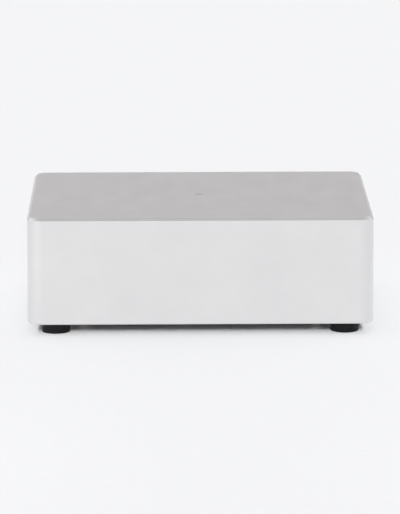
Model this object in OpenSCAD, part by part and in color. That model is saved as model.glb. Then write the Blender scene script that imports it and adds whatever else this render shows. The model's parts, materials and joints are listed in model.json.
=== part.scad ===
// Network music streamer: a milled aluminium case on four rubber feet. Inside are a board on a base
// plate and a heat block under the top. The rear panel shows a row of sockets and a power button.
// Millimetres. +Z is up, the front faces -Y, the sockets face +Y.
// The origin is on the floor, under the middle of the case.

/* [Case] */
// Width of the case
case_w = 115; // [110:1:140]
// Depth of the case
case_d = 96; // [92:1:120]
// Height of the case above its feet
case_h = 35.8; // [34:0.2:48]
// Radius of the upright corners
corner_r = 5; // [4:0.25:8]
// Chamfer round the top
top_chamfer = 0.85; // [0.4:0.05:1.5]
// Broken edge round the underside
bottom_break = 0.4; // [0.2:0.05:0.8]
// Thickness of the side and front walls
wall_t = 3; // [2.5:0.25:3.5]
// Thickness of the top
top_t = 3; // [2.5:0.25:4]

/* [Base and feet] */
// Thickness of the base plate
base_t = 2; // [1.5:0.25:3]
// Gap between the base plate and the walls
base_gap = 0.15; // [0.1:0.05:0.3]
// Height of a foot
foot_h = 4; // [3.5:0.25:8]
// Radius of a foot where it meets the base
foot_r = 4.85; // [4.5:0.05:6]
// How much smaller the radius is at the floor
foot_taper = 0.15; // [0.05:0.05:0.4]
// Rounding of a foot's lower edge
foot_edge = 0.5; // [0.2:0.1:0.8]
// Distance from a foot's centre to the sides of the case
foot_inset = 9.25; // [8.5:0.25:11]
// Depth of the screw's well in a foot
foot_well = 2; // [1.75:0.25:2.5]
// Radius of the posts that the foot screws run into
post_r = 4.5; // [4:0.25:5]

/* [Fasteners] */
// Radius of the case and board screws
screw_r = 1.25; // [1:0.05:1.4]
// Radius of their heads
head_r = 2.25; // [2:0.05:2.4]
// Height of their heads
head_h = 1.5; // [1.2:0.1:1.6]
// Radius of the hexagon drive, across its corners
drive_r = 0.9; // [0.6:0.05:1]
// Depth of the hexagon drive
drive_depth = 0.8; // [0.5:0.1:1]
// Length of a foot screw in its post
foot_thread = 6; // [4:0.5:7]
// Length of a panel screw in its post
panel_thread = 5; // [4:0.5:6]
// Length of a board screw in its standoff
board_thread = 3.5; // [3:0.25:4]
// Radius of the small screws of the heat block
small_screw_r = 1; // [0.8:0.05:1.1]
// Radius of their heads
small_head_r = 1.9; // [1.6:0.05:2]
// Height of their heads
small_head_h = 1.2; // [1:0.1:1.4]
// Length of a small screw in the top
small_thread = 1.8; // [1.4:0.1:2]
// Gap round a screw in its thread
thread_gap = 0.05; // [0.03:0.01:0.08]
// Gap round a screw in a plain hole
hole_gap = 0.2; // [0.1:0.05:0.3]
// Spare depth of a threaded hole past its screw
thread_spare = 0.5; // [0.3:0.1:0.8]

/* [Rear panel] */
// Thickness of the rear panel
panel_t = 2; // [1.6:0.1:2.5]
// Gap between the panel and the case
panel_gap = 0.2; // [0.1:0.05:0.3]
// Thickness of the bezel that the panel seats against
bezel_t = 1.5; // [1.4:0.1:2.5]
// How far the bezel laps over the panel
bezel_lap = 1.3; // [1:0.1:1.6]
// Radius of the window's upper corners
window_r = 2; // [1:0.25:3]
// Height of the lower panel screws above the ends of the foot screws
low_screw_rise = 3; // [2.8:0.1:4]
// Drop of the upper panel screws below the inside of the top
high_screw_drop = 5.8; // [5:0.2:8]
// Depth of a countersunk head
sink_h = 1.2; // [1:0.1:1.4]
// Distance from a post to the end of the row of sockets
row_margin = 1.8; // [1:0.1:2.4]
// How far the sockets stand out of the panel
port_proud = 0.5; // [0.2:0.1:0.8]
// Gap round a socket in its cut-out
cutout_gap = 0.25; // [0.15:0.05:0.4]

/* [Board] */
// Thickness of the board
board_t = 1.6; // [1.2:0.1:2]
// Gap between the board and the posts
board_side_gap = 1.25; // [0.8:0.05:1.6]
// Gap between the board and the front wall
board_front_gap = 5; // [3:0.5:7]
// Gap between the board and the rear panel
board_rear_gap = 3; // [2:0.25:4]
// Height of the standoffs
standoff_h = 5; // [4.6:0.1:7]
// Radius of a standoff across its corners
standoff_r = 2.9; // [2.6:0.1:3.2]
// Radius of the spigot that is pressed into the base
spigot_r = 1.95; // [1.8:0.05:2.3]
// Distance from a standoff to the edges of the board
standoff_inset = 3.5; // [3.2:0.1:4]
// Distance from the rear standoffs to the rear edge of the board
standoff_back = 21.5; // [20:0.5:24]
// Thickness of the insulating sheet
sheet_t = 0.4; // [0.2:0.1:0.6]
// Gap round a standoff in the sheet
sheet_gap = 0.4; // [0.2:0.1:0.8]

/* [Heat path] */
// Place of the processor left of the middle, as a share of half the board
processor_share = 0.47; // [0.45:0.01:0.52]
// Width of the processor
processor_w = 14; // [10:0.5:18]
// Height of the processor
processor_h = 1.2; // [0.8:0.1:1.6]
// Thickness of the thermal pad
pad_t = 1; // [0.5:0.1:2]
// Width of the heat block
block_w = 24; // [20:0.5:26]
// Length of the heat block's ears
ear_len = 5; // [4.5:0.25:6]
// Width of the ears
ear_w = 10; // [8:0.5:12]
// Thickness of the ears
ear_t = 2.5; // [2:0.25:3]

/* [Chips] */
// Height of the thin chips
chip_h = 1; // [0.7:0.05:1.3]
// Width of a memory chip
memory_w = 11; // [8:0.5:12]
// Depth of a memory chip
memory_d = 8; // [6:0.5:9]
// Gap between the memory chips
memory_gap = 3; // [2:0.5:4]
// Gap between the filter capacitors and the memory
memory_front_gap = 4; // [3:0.5:6]
// Gap between the memory and the heat block's ear
memory_back_gap = 3; // [2:0.5:4]
// Width and depth of the storage chip
storage_w = 12; // [9:0.5:13]
// Distance from the middle to the storage chip
storage_right = 5; // [3:0.5:6]
// Width of a clock oscillator
clock_w = 7; // [5:0.5:8]
// Depth of a clock oscillator
clock_d = 5; // [3:0.5:6]
// Height of a clock oscillator
clock_h = 1.6; // [1:0.1:2]
// Gap between the clock oscillators
clock_gap = 4; // [3:0.5:6]
// Width of the network transformer
transformer_w = 12; // [10:0.5:14]
// Depth of the network transformer
transformer_d = 8; // [7:0.5:9]
// Height of the network transformer
transformer_h = 6; // [4:0.5:7]
// Width of the network controller
controller_w = 7; // [6:0.5:9]
// Gap between neighbours on the network path
network_gap = 3; // [2:0.25:4]
// Width of the controller of the data sockets
hub_w = 9; // [7:0.5:10]
// Width of the status light
led_w = 1.6; // [1:0.1:2]
// Height of the status light
led_h = 0.7; // [0.4:0.1:1]

/* [Power parts] */
// Radius of a filter capacitor
capacitor_r = 4; // [3:0.25:4.5]
// Height of a filter capacitor
capacitor_h = 10; // [8:0.5:14]
// Width of a filter inductor
inductor_w = 8; // [6:0.5:9]
// Height of a filter inductor
inductor_h = 4.2; // [3:0.2:6]
// Width of a regulator
regulator_w = 6.6; // [5:0.2:7]
// Height of a regulator
regulator_h = 2.3; // [1.5:0.1:3]
// Spacing of the regulators
regulator_pitch = 9; // [8:0.5:10]
// Distance from the board's front edge to the middle of the front parts
front_row = 8; // [7:0.5:10]
// Distance from the board's side edge to the middle of the end parts
side_row = 9.5; // [9:0.5:11]

/* [Status light] */
// Radius of the light guide that shows in the top
guide_r = 1.25; // [0.8:0.05:1.6]
// Gap round the guide in the top
guide_gap = 0.05; // [0.03:0.01:0.08]
// How far the guide's end lies below the top
guide_sunk = 0.15; // [0.05:0.05:0.3]
// Radius of the guide's shoulder
shoulder_r = 2.5; // [2.2:0.1:3]
// Thickness of the guide's shoulder
shoulder_t = 1; // [0.8:0.1:1.5]
// Gap between the guide and the status light
guide_air = 0.5; // [0.3:0.1:0.8]

/* [Network jack] */
// Width of the network jack
lan_w = 16; // [15.5:0.1:16.5]
// Height of the network jack
lan_h = 13.5; // [13:0.1:15]
// Length of the network jack
lan_l = 21.3; // [18:0.1:22]
// Thickness of its metal shell
lan_shell_t = 0.5; // [0.3:0.05:0.6]
// Width of the plug's opening
lan_plug_w = 11.9; // [11.7:0.1:12.2]
// Height of the plug's opening
lan_plug_h = 7; // [6.8:0.1:7.5]
// Depth of the plug's opening
lan_plug_l = 13; // [11:0.5:14]
// Height of the opening's floor above the board
lan_floor = 3.4; // [3:0.1:3.8]
// Width of the slot for the plug's latch
lan_latch_w = 6.4; // [6:0.1:6.6]
// Depth of the slot for the plug's latch
lan_latch_h = 1.6; // [1.2:0.1:1.8]
// Number of contacts
lan_pins = 8; // [8:2:10]
// Spacing of the contacts
lan_pitch = 1.02; // [0.9:0.02:1.1]
// Thickness of a contact
lan_pin_t = 0.4; // [0.3:0.05:0.5]
// Drop of the contacts below the opening's roof
lan_pin_drop = 1.2; // [0.8:0.1:1.4]
// How far the contacts' ends lie inside the opening
lan_pin_sunk = 3; // [2:0.25:4]
// How far the insert's face lies inside the shell
lan_insert_sunk = 0.25; // [0.1:0.05:0.4]
// Width of a link light
lan_light_w = 2.6; // [2:0.1:3]
// Height of a link light
lan_light_h = 1.5; // [1:0.1:1.6]

/* [Data sockets] */
// Width of a stack of two sockets
usb_w = 14.4; // [14.2:0.1:14.8]
// Height of a stack
usb_h = 15.6; // [15.4:0.1:16.4]
// Length of a stack
usb_l = 18.2; // [17:0.1:19]
// Thickness of the metal shell
usb_shell_t = 0.4; // [0.3:0.05:0.5]
// Width of a plug's opening
usb_plug_w = 12.6; // [12.4:0.1:12.8]
// Height of a plug's opening
usb_plug_h = 5.2; // [5.1:0.1:5.4]
// Depth of a plug's opening
usb_plug_l = 11.5; // [11:0.5:12.5]
// Thickness of the web between the two openings
usb_web = 2.6; // [2.2:0.1:3]
// Width of the tongue
tongue_w = 11.2; // [11:0.1:11.4]
// Thickness of the tongue
tongue_t = 1.9; // [1.8:0.1:2]
// Gap between the tongue and the opening's roof
tongue_gap = 0.7; // [0.6:0.05:0.8]
// How far the tongue's end lies inside the opening
tongue_sunk = 1; // [0.5:0.1:1.5]
// Number of contacts on a tongue
usb_pins = 4; // [4:1:5]
// Spacing of the contacts
usb_pitch = 2.3; // [2:0.1:2.4]
// Width of a contact
usb_pin_w = 1; // [0.8:0.05:1.2]
// Thickness of a contact
usb_pin_t = 0.15; // [0.1:0.05:0.25]

/* [Power jack] */
// Width of the power jack
dc_w = 9; // [8.8:0.1:9.5]
// Height of the power jack
dc_h = 11; // [10.7:0.1:12]
// Length of its body behind the panel
dc_l = 12.3; // [11:0.1:14]
// Height of its axis, and of the button's, above the board
axis_rise = 6.5; // [6.4:0.1:6.6]
// Radius of the round nose in the panel
dc_nose_r = 4; // [3.8:0.05:4.2]
// Radius of the plug's hole
dc_hole_r = 3.15; // [2.9:0.05:3.3]
// Depth of the plug's hole
dc_hole_l = 9.5; // [9:0.5:11]
// Radius of the centre pin
dc_pin_r = 1; // [0.9:0.05:1.25]
// How far the pin's tip lies inside the nose
dc_pin_sunk = 1.2; // [0.8:0.1:2]
// Length of pin held in the body
dc_pin_root = 1.5; // [1:0.1:2]

/* [Power button] */
// Radius of the button's cap
button_r = 3.4; // [3:0.1:3.6]
// Radius of the collar behind the panel
collar_r = 4.2; // [4:0.05:4.4]
// Thickness of the collar
collar_t = 1; // [0.8:0.1:1.4]
// How far the button stands out of the panel
button_proud = 1.3; // [1.2:0.05:1.4]
// Chamfer on the button's edge
button_chamfer = 0.3; // [0.1:0.05:0.5]
// Gap round the button in the panel
button_gap = 0.25; // [0.15:0.05:0.35]
// Travel of the button
button_travel = 1.1; // [0.6:0.1:1.1]
// Radius of the boss behind the collar
boss_r = 2.2; // [2:0.1:2.6]
// Length of the boss behind the collar
boss_l = 1.3; // [1:0.1:1.6]
// Depth of the plunger's socket in the button
socket_l = 2; // [1.5:0.1:2.2]
// Radius of the switch plunger
plunger_r = 1.2; // [1:0.05:1.4]
// Gap round the plunger in the button
plunger_fit = 0.05; // [0.03:0.01:0.08]
// Gap round the plunger in the switch
plunger_gap = 0.15; // [0.1:0.05:0.2]
// Length of plunger inside the switch
plunger_root = 4; // [3:0.5:4.5]
// Width of the switch
switch_w = 7; // [6:0.5:8]
// Height of the switch
switch_h = 10; // [9:0.5:11]
// Length of the switch
switch_l = 7.5; // [7:0.25:9]

/* [Optical socket] */
// Width of the optical socket
opt_w = 9.7; // [9.5:0.1:10.2]
// Height of the optical socket
opt_h = 12.4; // [12.3:0.1:13]
// Length of the optical socket
opt_l = 13; // [12.7:0.1:14]
// Width of the chamber behind the mouth
chamber_w = 8.2; // [8:0.1:8.4]
// Depth of the chamber from the front face
chamber_l = 11.4; // [11.3:0.1:12]
// Height of the chamber's floor above the board
chamber_floor = 0.9; // [0.7:0.05:1]
// Height of the chamber's roof above the board
chamber_roof = 11.5; // [11.4:0.05:11.7]
// Width and height of the mouth
mouth_w = 7.5; // [7.3:0.1:7.6]
// Height of the mouth's sill above the board
mouth_sill = 1.5; // [1.3:0.1:1.6]
// Thickness of the lip round the mouth
lip_t = 0.6; // [0.5:0.05:0.8]
// Thickness of the shutter
shutter_t = 0.8; // [0.6:0.05:0.9]
// Gap between the shutter and the lip
shutter_gap = 0.1; // [0.08:0.01:0.2]
// Gap between the shutter and the chamber's sides and floor
shutter_side_gap = 0.2; // [0.15:0.05:0.25]
// Radius of the shutter's knuckles
knuckle_r = 0.85; // [0.8:0.05:0.9]
// Height of the hinge above the mouth
hinge_rise = 1.4; // [1.35:0.05:1.5]
// Radius of the hinge pin
hinge_r = 0.5; // [0.4:0.05:0.55]
// Gap round the hinge pin in the knuckles
hinge_gap = 0.05; // [0.03:0.01:0.08]
// Gap round the hinge pin in the socket's sides
pin_seat_gap = 0.02; // [0.01:0.01:0.04]
// Length of pin held in each side
pin_seat_l = 0.5; // [0.4:0.05:0.6]
// Width of the space for the spring between the knuckles
spring_bay = 2.4; // [2:0.1:3]
// Length of the coiled spring on the pin
spring_l = 2; // [1.4:0.1:2]
// Radius of the coiled spring
spring_r = 0.8; // [0.75:0.05:0.9]
// Radius of the emitter's lens
emitter_r = 1.6; // [1:0.1:1.8]
// How far the lens stands into the chamber
emitter_out = 0.6; // [0.3:0.1:0.7]
// Length of the lens held in the back wall
emitter_root = 0.8; // [0.5:0.1:1]

/* [Reset button] */
// Distance from the board's side edge to the reset button
reset_side = 12.5; // [11:0.5:14]
// Distance from the board's front edge to the reset button
reset_front = 15; // [12:0.5:18]
// Radius of the pin hole in the base
pin_hole_r = 0.9; // [0.6:0.05:1.2]
// Width of the reset switch
reset_w = 6; // [5:0.5:7]
// Height of the reset switch
reset_h = 3.4; // [3:0.1:3.5]
// Radius of the reset plunger
reset_r = 1.6; // [1.3:0.05:1.8]
// How far the plunger stands out of the switch
reset_out = 0.6; // [0.45:0.05:0.7]
// Length of plunger inside the switch
reset_root = 0.8; // [0.6:0.1:1]
// Gap round the plunger in the switch
reset_gap = 0.1; // [0.08:0.01:0.15]
// Travel of the reset plunger
reset_travel = 0.4; // [0.25:0.05:0.4]

/* [Hidden] */
$fn = 64;
// Length by which a cut runs past the face that it opens
past = 1;

// Levels, from the floor up
case_top = foot_h + case_h;
ceiling = case_top - top_t;
base_top = foot_h + base_t;
board_z = base_top + standoff_h;
board_top = board_z + board_t;
foot_screw_end = base_top + foot_thread;
axis_z = board_top + axis_rise;

// Planes, from the front to the rear
front_y = -case_d / 2;
rear_y = case_d / 2;
panel_out = rear_y - bezel_t;
panel_in = panel_out - panel_t;
port_face = panel_out + port_proud;
post_back = panel_in - panel_gap;

// Inside of the case
inner_r = corner_r - wall_t;
inner_w = case_w - 2 * wall_t;
inner_d = case_d - wall_t - bezel_t;
inner_y = (wall_t - bezel_t) / 2;
post_x = case_w / 2 - foot_inset;
post_y = case_d / 2 - foot_inset;
thread_r = screw_r + thread_gap;
hole_r = screw_r + hole_gap;
small_thread_r = small_screw_r + thread_gap;

// Rear panel and its window
panel_w = case_w - 2 * corner_r - 2 * panel_gap;
panel_top = ceiling - panel_gap;
window_w = panel_w - 2 * bezel_lap;
window_top = panel_top - bezel_lap;
panel_screw_z = [foot_screw_end + low_screw_rise, ceiling - high_screw_drop];
panel_hole_l = panel_thread + thread_spare;

// Board
board_w = 2 * (post_x - post_r - board_side_gap);
board_front = front_y + wall_t + board_front_gap;
board_rear = panel_in - board_rear_gap;
board_d = board_rear - board_front;
board_y = (board_rear + board_front) / 2;
standoff_x = board_w / 2 - standoff_inset;
standoff_y = [board_front + standoff_inset, board_rear - standoff_back];

// Filter capacitors and inductors in the row along the board's front
capacitors = 3;
inductors = 2;

// Row of sockets, from the button on the left to the optical socket on the right
port_w = [2 * collar_r, dc_w, usb_w, usb_w, lan_w, opt_w];
row_w = 2 * (post_x - post_r - row_margin);
function sum(list, n) = n == 0 ? 0 : list[n - 1] + sum(list, n - 1);
port_space = (row_w - sum(port_w, len(port_w))) / (len(port_w) - 1);
function port_x(i) = -row_w / 2 + sum(port_w, i) + i * port_space + port_w[i] / 2;
button_x = port_x(0);
dc_x = port_x(1);
usb_x = [port_x(2), port_x(3)];
lan_x = port_x(4);
opt_x = port_x(5);

// Heat path and chips
end_x = board_w / 2 - side_row;
front_pitch = 2 * end_x / (capacitors + inductors);
front_row_y = board_front + front_row;
memory_x = (memory_w + memory_gap) / 2;
memory_y = front_row_y + capacitor_r + memory_front_gap + memory_d / 2;
ear_at = block_w / 2 + ear_len / 2;
processor_y = memory_y + memory_d / 2 + memory_back_gap + ear_len + block_w / 2;
processor_at = [-processor_share * board_w / 2, processor_y];
block_z = board_top + processor_h + pad_t;
transformer_y = port_face - lan_l - network_gap - transformer_d / 2;
controller_y = transformer_y - transformer_d / 2 - network_gap - controller_w / 2;
clock_y = controller_y - controller_w / 2 - network_gap - clock_d / 2;
hub_y = port_face - usb_l - network_gap - hub_w / 2;
reset_at = [board_w / 2 - reset_side, board_front + reset_front];

// Data sockets: the openings' middles above the board, and the tongue's place in an opening
usb_open_z = [for (s = [-1, 1]) usb_h / 2 + s * (usb_plug_h + usb_web) / 2];
tongue_z = usb_plug_h / 2 - tongue_gap - tongue_t / 2;

// Power button and its switch
switch_front = panel_in - panel_gap - collar_t - boss_l - button_travel - plunger_gap - panel_gap;
button_back = panel_in - panel_gap - collar_t - boss_l;

// Optical socket, measured from its front face
mouth_top = mouth_sill + mouth_w;
hinge_y = -lip_t - shutter_side_gap - knuckle_r;
hinge_z = mouth_top + hinge_rise;
shutter_y = -lip_t - shutter_gap - shutter_t;
shutter_w = chamber_w - 2 * shutter_side_gap;
shutter_foot = chamber_floor + shutter_side_gap;
knuckle_l = (shutter_w - spring_bay) / 2;

// Shared shapes

// Flat rectangle with round corners, centred
module rounded_rect(w, d, r) {
    square([w - 2 * r, d], center = true);
    square([w, d - 2 * r], center = true);
    for (sx = [-1, 1], sy = [-1, 1])
        translate([sx * (w / 2 - r), sy * (d / 2 - r)])
            circle(r);
}

// Half outline of the case from its middle out to "half", with both edges chamfered
module edge_profile(half) {
    polygon([
        [0, 0], [half - bottom_break, 0], [half, bottom_break],
        [half, case_h - top_chamfer], [half - top_chamfer, case_h], [0, case_h]
    ]);
}

// Case block: four turned corners joined by two prisms with the same edges
module case_block() {
    for (sx = [-1, 1], sy = [-1, 1])
        translate([sx * (case_w / 2 - corner_r), sy * (case_d / 2 - corner_r), 0])
            rotate_extrude()
                edge_profile(corner_r);
    for (side = [0, 180])
        rotate([0, 0, side]) {
            rotate([90, 0, 0])
                linear_extrude(case_d - 2 * corner_r, center = true)
                    edge_profile(case_w / 2);
            rotate([90, 0, 90])
                linear_extrude(case_w - 2 * corner_r, center = true)
                    edge_profile(case_d / 2);
        }
}

// Outline of the inside of the case, less "gap" all round
module inner_outline(gap) {
    translate([0, inner_y])
        rounded_rect(inner_w - 2 * gap, inner_d - 2 * gap, inner_r);
}

// Outline of one corner post, which runs into the side wall and "reach" towards the end wall
module post_outline(sx, sy, reach) {
    side = foot_inset - wall_t / 2;
    translate([sx * post_x, sy * post_y])
        mirror([sx < 0 ? 1 : 0, 0])
            mirror([0, sy < 0 ? 1 : 0]) {
                circle(post_r);
                translate([0, -post_r])
                    square([side, post_r + reach]);
                translate([-post_r, 0])
                    square([post_r + side, reach]);
            }
}

// Repeats its children at the four corner posts
module at_posts() {
    for (sx = [-1, 1], sy = [-1, 1])
        translate([sx * post_x, sy * post_y, 0])
            children();
}

// Repeats its children at the four standoffs
module at_standoffs() {
    for (sx = [-1, 1], y = standoff_y)
        translate([sx * standoff_x, y, 0])
            children();
}

// Repeats its children at the four panel screws, with +Z turned to face the rear
module at_panel_screws() {
    for (sx = [-1, 1], z = panel_screw_z)
        translate([sx * post_x, panel_out, z])
            rotate([-90, 0, 0])
                children();
}

// Screw with a flat head that seats at z = 0 and a shank that runs up from it
module head_screw(r, hr, hh, len) {
    difference() {
        union() {
            translate([0, 0, -hh])
                cylinder(h = hh, r = hr);
            cylinder(h = len, r = r);
        }
        translate([0, 0, -hh - past])
            cylinder(h = drive_depth + past, r = drive_r, $fn = 6);
    }
}

// Box centred on x, that runs back from y = 0 and up from z = 0
module port_box(w, l, h) {
    translate([-w / 2, -l, 0])
        cube([w, l, h]);
}

// Moves a socket's front face, on the board, to its place in the row
module at_port(x) {
    translate([x, port_face, board_top])
        children();
}

// Chip centred on its place on the board
module chip(at, w, d, h) {
    translate([at[0] - w / 2, at[1] - d / 2, board_top])
        cube([w, d, h]);
}

// Cylinder along +Y
module rod_y(r, len) {
    rotate([-90, 0, 0])
        cylinder(h = len, r = r);
}

// Cylinder along X, centred
module rod_x(r, len) {
    rotate([0, 90, 0])
        cylinder(h = len, r = r, center = true);
}

// Case

module housing() {
    color("gainsboro")
        difference() {
            translate([0, 0, foot_h])
                case_block();
            // rebate for the base plate
            translate([0, 0, foot_h - past])
                linear_extrude(base_t + past)
                    inner_outline(0);
            // pocket between the posts
            translate([0, 0, base_top - past])
                linear_extrude(ceiling - base_top + past)
                    difference() {
                        inner_outline(0);
                        for (sx = [-1, 1]) {
                            post_outline(sx, -1, foot_inset - wall_t / 2);
                            post_outline(sx, 1, post_back - post_y);
                        }
                    }
            rear_window();
            at_posts()
                translate([0, 0, base_top - past])
                    cylinder(h = past + foot_thread + thread_spare, r = thread_r);
            for (sx = [-1, 1], z = panel_screw_z)
                translate([sx * post_x, post_back - panel_hole_l, z])
                    rod_y(thread_r, panel_hole_l + past);
            // hole for the light guide
            translate([0, 0, ceiling - past])
                cylinder(h = top_t + 2 * past, r = guide_r + guide_gap);
            at_ears()
                translate([0, 0, ceiling - past])
                    cylinder(h = past + small_thread + thread_spare / 2, r = small_thread_r);
        }
}

// Window in the rear wall, open at the bottom, with round upper corners
module rear_window() {
    low = foot_h - past;
    translate([0, rear_y + past, low])
        rotate([90, 0, 0])
            linear_extrude(bezel_t + 2 * past) {
                translate([-window_w / 2, 0])
                    square([window_w, window_top - low - window_r]);
                translate([-window_w / 2 + window_r, 0])
                    square([window_w - 2 * window_r, window_top - low]);
                for (sx = [-1, 1])
                    translate([sx * (window_w / 2 - window_r), window_top - low - window_r])
                        circle(window_r);
            }
}

module base_plate() {
    color("silver")
        difference() {
            translate([0, 0, foot_h])
                linear_extrude(base_t)
                    inner_outline(base_gap);
            at_posts()
                translate([0, 0, foot_h - past])
                    cylinder(h = base_t + 2 * past, r = hole_r);
            at_standoffs()
                translate([0, 0, foot_h - past])
                    cylinder(h = base_t + 2 * past, r = spigot_r + thread_gap);
            translate([reset_at[0], reset_at[1], foot_h - past])
                cylinder(h = base_t + 2 * past, r = pin_hole_r);
        }
}

module rear_panel() {
    color("gainsboro")
        difference() {
            translate([-panel_w / 2, panel_in, base_top])
                cube([panel_w, panel_t, panel_top - base_top]);
            for (x = usb_x)
                port_cutout(x, usb_w, usb_h);
            port_cutout(lan_x, lan_w, lan_h);
            port_cutout(opt_x, opt_w, opt_h);
            translate([dc_x, panel_in - past, axis_z])
                rod_y(dc_nose_r + cutout_gap, panel_t + 2 * past);
            translate([button_x, panel_in - past, axis_z])
                rod_y(button_r + button_gap, panel_t + 2 * past);
            at_panel_screws() {
                translate([0, 0, -panel_t - past])
                    cylinder(h = panel_t + 2 * past, r = hole_r);
                translate([0, 0, -sink_h])
                    cylinder(h = sink_h, r1 = hole_r, r2 = head_r + thread_gap);
            }
        }
}

// Cut through the panel for a socket
module port_cutout(x, w, h) {
    translate([x - w / 2 - cutout_gap, panel_in - past, board_top - cutout_gap])
        cube([w + 2 * cutout_gap, panel_t + 2 * past, h + 2 * cutout_gap]);
}

module rear_panel_screws() {
    color("silver")
        at_panel_screws()
            difference() {
                union() {
                    translate([0, 0, -sink_h])
                        cylinder(h = sink_h, r1 = screw_r, r2 = head_r);
                    translate([0, 0, -panel_t - panel_gap - panel_thread])
                        cylinder(h = panel_t + panel_gap + panel_thread - sink_h / 2, r = screw_r);
                }
                translate([0, 0, -drive_depth])
                    cylinder(h = drive_depth + past, r = drive_r, $fn = 6);
            }
}

// Rubber foot with a well for its screw
module foot(sx, sy) {
    low_r = foot_r - foot_taper;
    color("#1c1c1e")
        translate([sx * post_x, sy * post_y, 0])
            difference() {
                rotate_extrude() {
                    polygon([
                        [0, 0], [low_r - foot_edge, 0], [low_r - foot_edge, foot_edge],
                        [low_r, foot_edge], [foot_r, foot_h], [0, foot_h]
                    ]);
                    intersection() {
                        translate([low_r - foot_edge, foot_edge])
                            circle(foot_edge);
                        square([foot_r, foot_h]);
                    }
                }
                translate([0, 0, -past])
                    cylinder(h = foot_well + past, r = head_r + hole_gap);
                cylinder(h = foot_h + past, r = hole_r);
            }
}

module foot_screws() {
    color("silver")
        at_posts()
            translate([0, 0, foot_well])
                head_screw(screw_r, head_r, head_h, foot_screw_end - foot_well);
}

// Status light

module status_light_guide() {
    low = board_top + led_h + guide_air;
    color("whitesmoke") {
        translate([0, 0, low])
            cylinder(h = case_top - guide_sunk - low, r = guide_r);
        translate([0, 0, ceiling - shoulder_t])
            cylinder(h = shoulder_t, r = shoulder_r);
    }
}

module status_led() {
    color("ivory")
        chip([0, 0], led_w, led_w / 2, led_h);
}

// Board and its carriers

module insulating_sheet() {
    color("#202224")
        difference() {
            translate([-board_w / 2, board_front, base_top])
                cube([board_w, board_d, sheet_t]);
            at_standoffs()
                translate([0, 0, base_top - past])
                    cylinder(h = sheet_t + 2 * past, r = standoff_r + sheet_gap);
            translate([reset_at[0], reset_at[1], base_top - past])
                cylinder(h = sheet_t + 2 * past, r = reset_r);
        }
}

module board_standoffs() {
    color("goldenrod")
        at_standoffs()
            difference() {
                union() {
                    translate([0, 0, base_top])
                        cylinder(h = standoff_h, r = standoff_r, $fn = 6);
                    translate([0, 0, foot_h])
                        cylinder(h = base_t + past, r = spigot_r);
                }
                translate([0, 0, board_z - board_thread - thread_spare])
                    cylinder(h = board_thread + thread_spare + past, r = thread_r);
            }
}

module board_screws() {
    color("silver")
        at_standoffs()
            translate([0, 0, board_top])
                rotate([180, 0, 0])
                    head_screw(screw_r, head_r, head_h, board_t + board_thread);
}

module main_board() {
    color("#12331f")
        difference() {
            translate([-board_w / 2, board_front, board_z])
                cube([board_w, board_d, board_t]);
            at_standoffs()
                translate([0, 0, board_z - past])
                    cylinder(h = board_t + 2 * past, r = hole_r);
        }
}

// Heat path

module processor() {
    color("#2a2b2e")
        chip(processor_at, processor_w, processor_w, processor_h);
}

module thermal_pad() {
    color("lightpink")
        translate([0, 0, processor_h])
            chip(processor_at, processor_w, processor_w, pad_t);
}

// Repeats its children at the two ears of the heat block
module at_ears() {
    for (s = [-1, 1])
        translate([processor_at[0], processor_at[1] + s * ear_at, 0])
            children();
}

module heat_block() {
    color("lightgray")
        difference() {
            translate([processor_at[0], processor_at[1], 0]) {
                translate([-block_w / 2, -block_w / 2, block_z])
                    cube([block_w, block_w, ceiling - block_z]);
                translate([-ear_w / 2, -block_w / 2 - ear_len, ceiling - ear_t])
                    cube([ear_w, block_w + 2 * ear_len, ear_t]);
            }
            at_ears()
                translate([0, 0, ceiling - ear_t - past])
                    cylinder(h = ear_t + 2 * past, r = small_screw_r + hole_gap);
        }
}

module heat_block_screws() {
    color("silver")
        at_ears()
            translate([0, 0, ceiling - ear_t])
                head_screw(small_screw_r, small_head_r, small_head_h, ear_t + small_thread);
}

// Chips and power parts

module memory_chips() {
    color("#1d1e20")
        for (s = [-1, 1])
            chip([processor_at[0] + s * memory_x, memory_y], memory_w, memory_d, chip_h);
}

module storage_chip() {
    color("#1d1e20")
        chip([storage_right, memory_y], storage_w, storage_w, chip_h);
}

module clock_oscillators() {
    color("silver")
        for (i = [0, 1])
            chip([lan_x, clock_y - i * (clock_d + clock_gap)], clock_w, clock_d, clock_h);
}

module network_transformer() {
    color("#25272a")
        chip([lan_x, transformer_y], transformer_w, transformer_d, transformer_h);
}

module network_controller() {
    color("#1d1e20")
        chip([lan_x, controller_y], controller_w, controller_w, chip_h);
}

module usb_controller() {
    color("#1d1e20")
        chip([(usb_x[0] + usb_x[1]) / 2, hub_y], hub_w, hub_w, chip_h);
}

module filter_capacitors() {
    color("slategray")
        for (i = [0 : capacitors - 1])
            translate([-end_x + i * front_pitch, front_row_y, board_top])
                cylinder(h = capacitor_h, r = capacitor_r);
}

module filter_inductors() {
    color("#4a4c50")
        for (i = [1 : inductors])
            chip([end_x - i * front_pitch, front_row_y], inductor_w, inductor_w, inductor_h);
}

module power_regulators() {
    color("#1d1e20")
        for (i = [0 : 2])
            chip([end_x, front_row_y + i * regulator_pitch], regulator_w, regulator_w, regulator_h);
}

// Network jack

module network_jack_shell() {
    color("lightgray")
        at_port(lan_x)
            difference() {
                port_box(lan_w, lan_l, lan_h);
                translate([0, past, lan_shell_t])
                    port_box(lan_w - 2 * lan_shell_t, lan_l - lan_shell_t + past, lan_h - 2 * lan_shell_t);
            }
}

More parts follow.
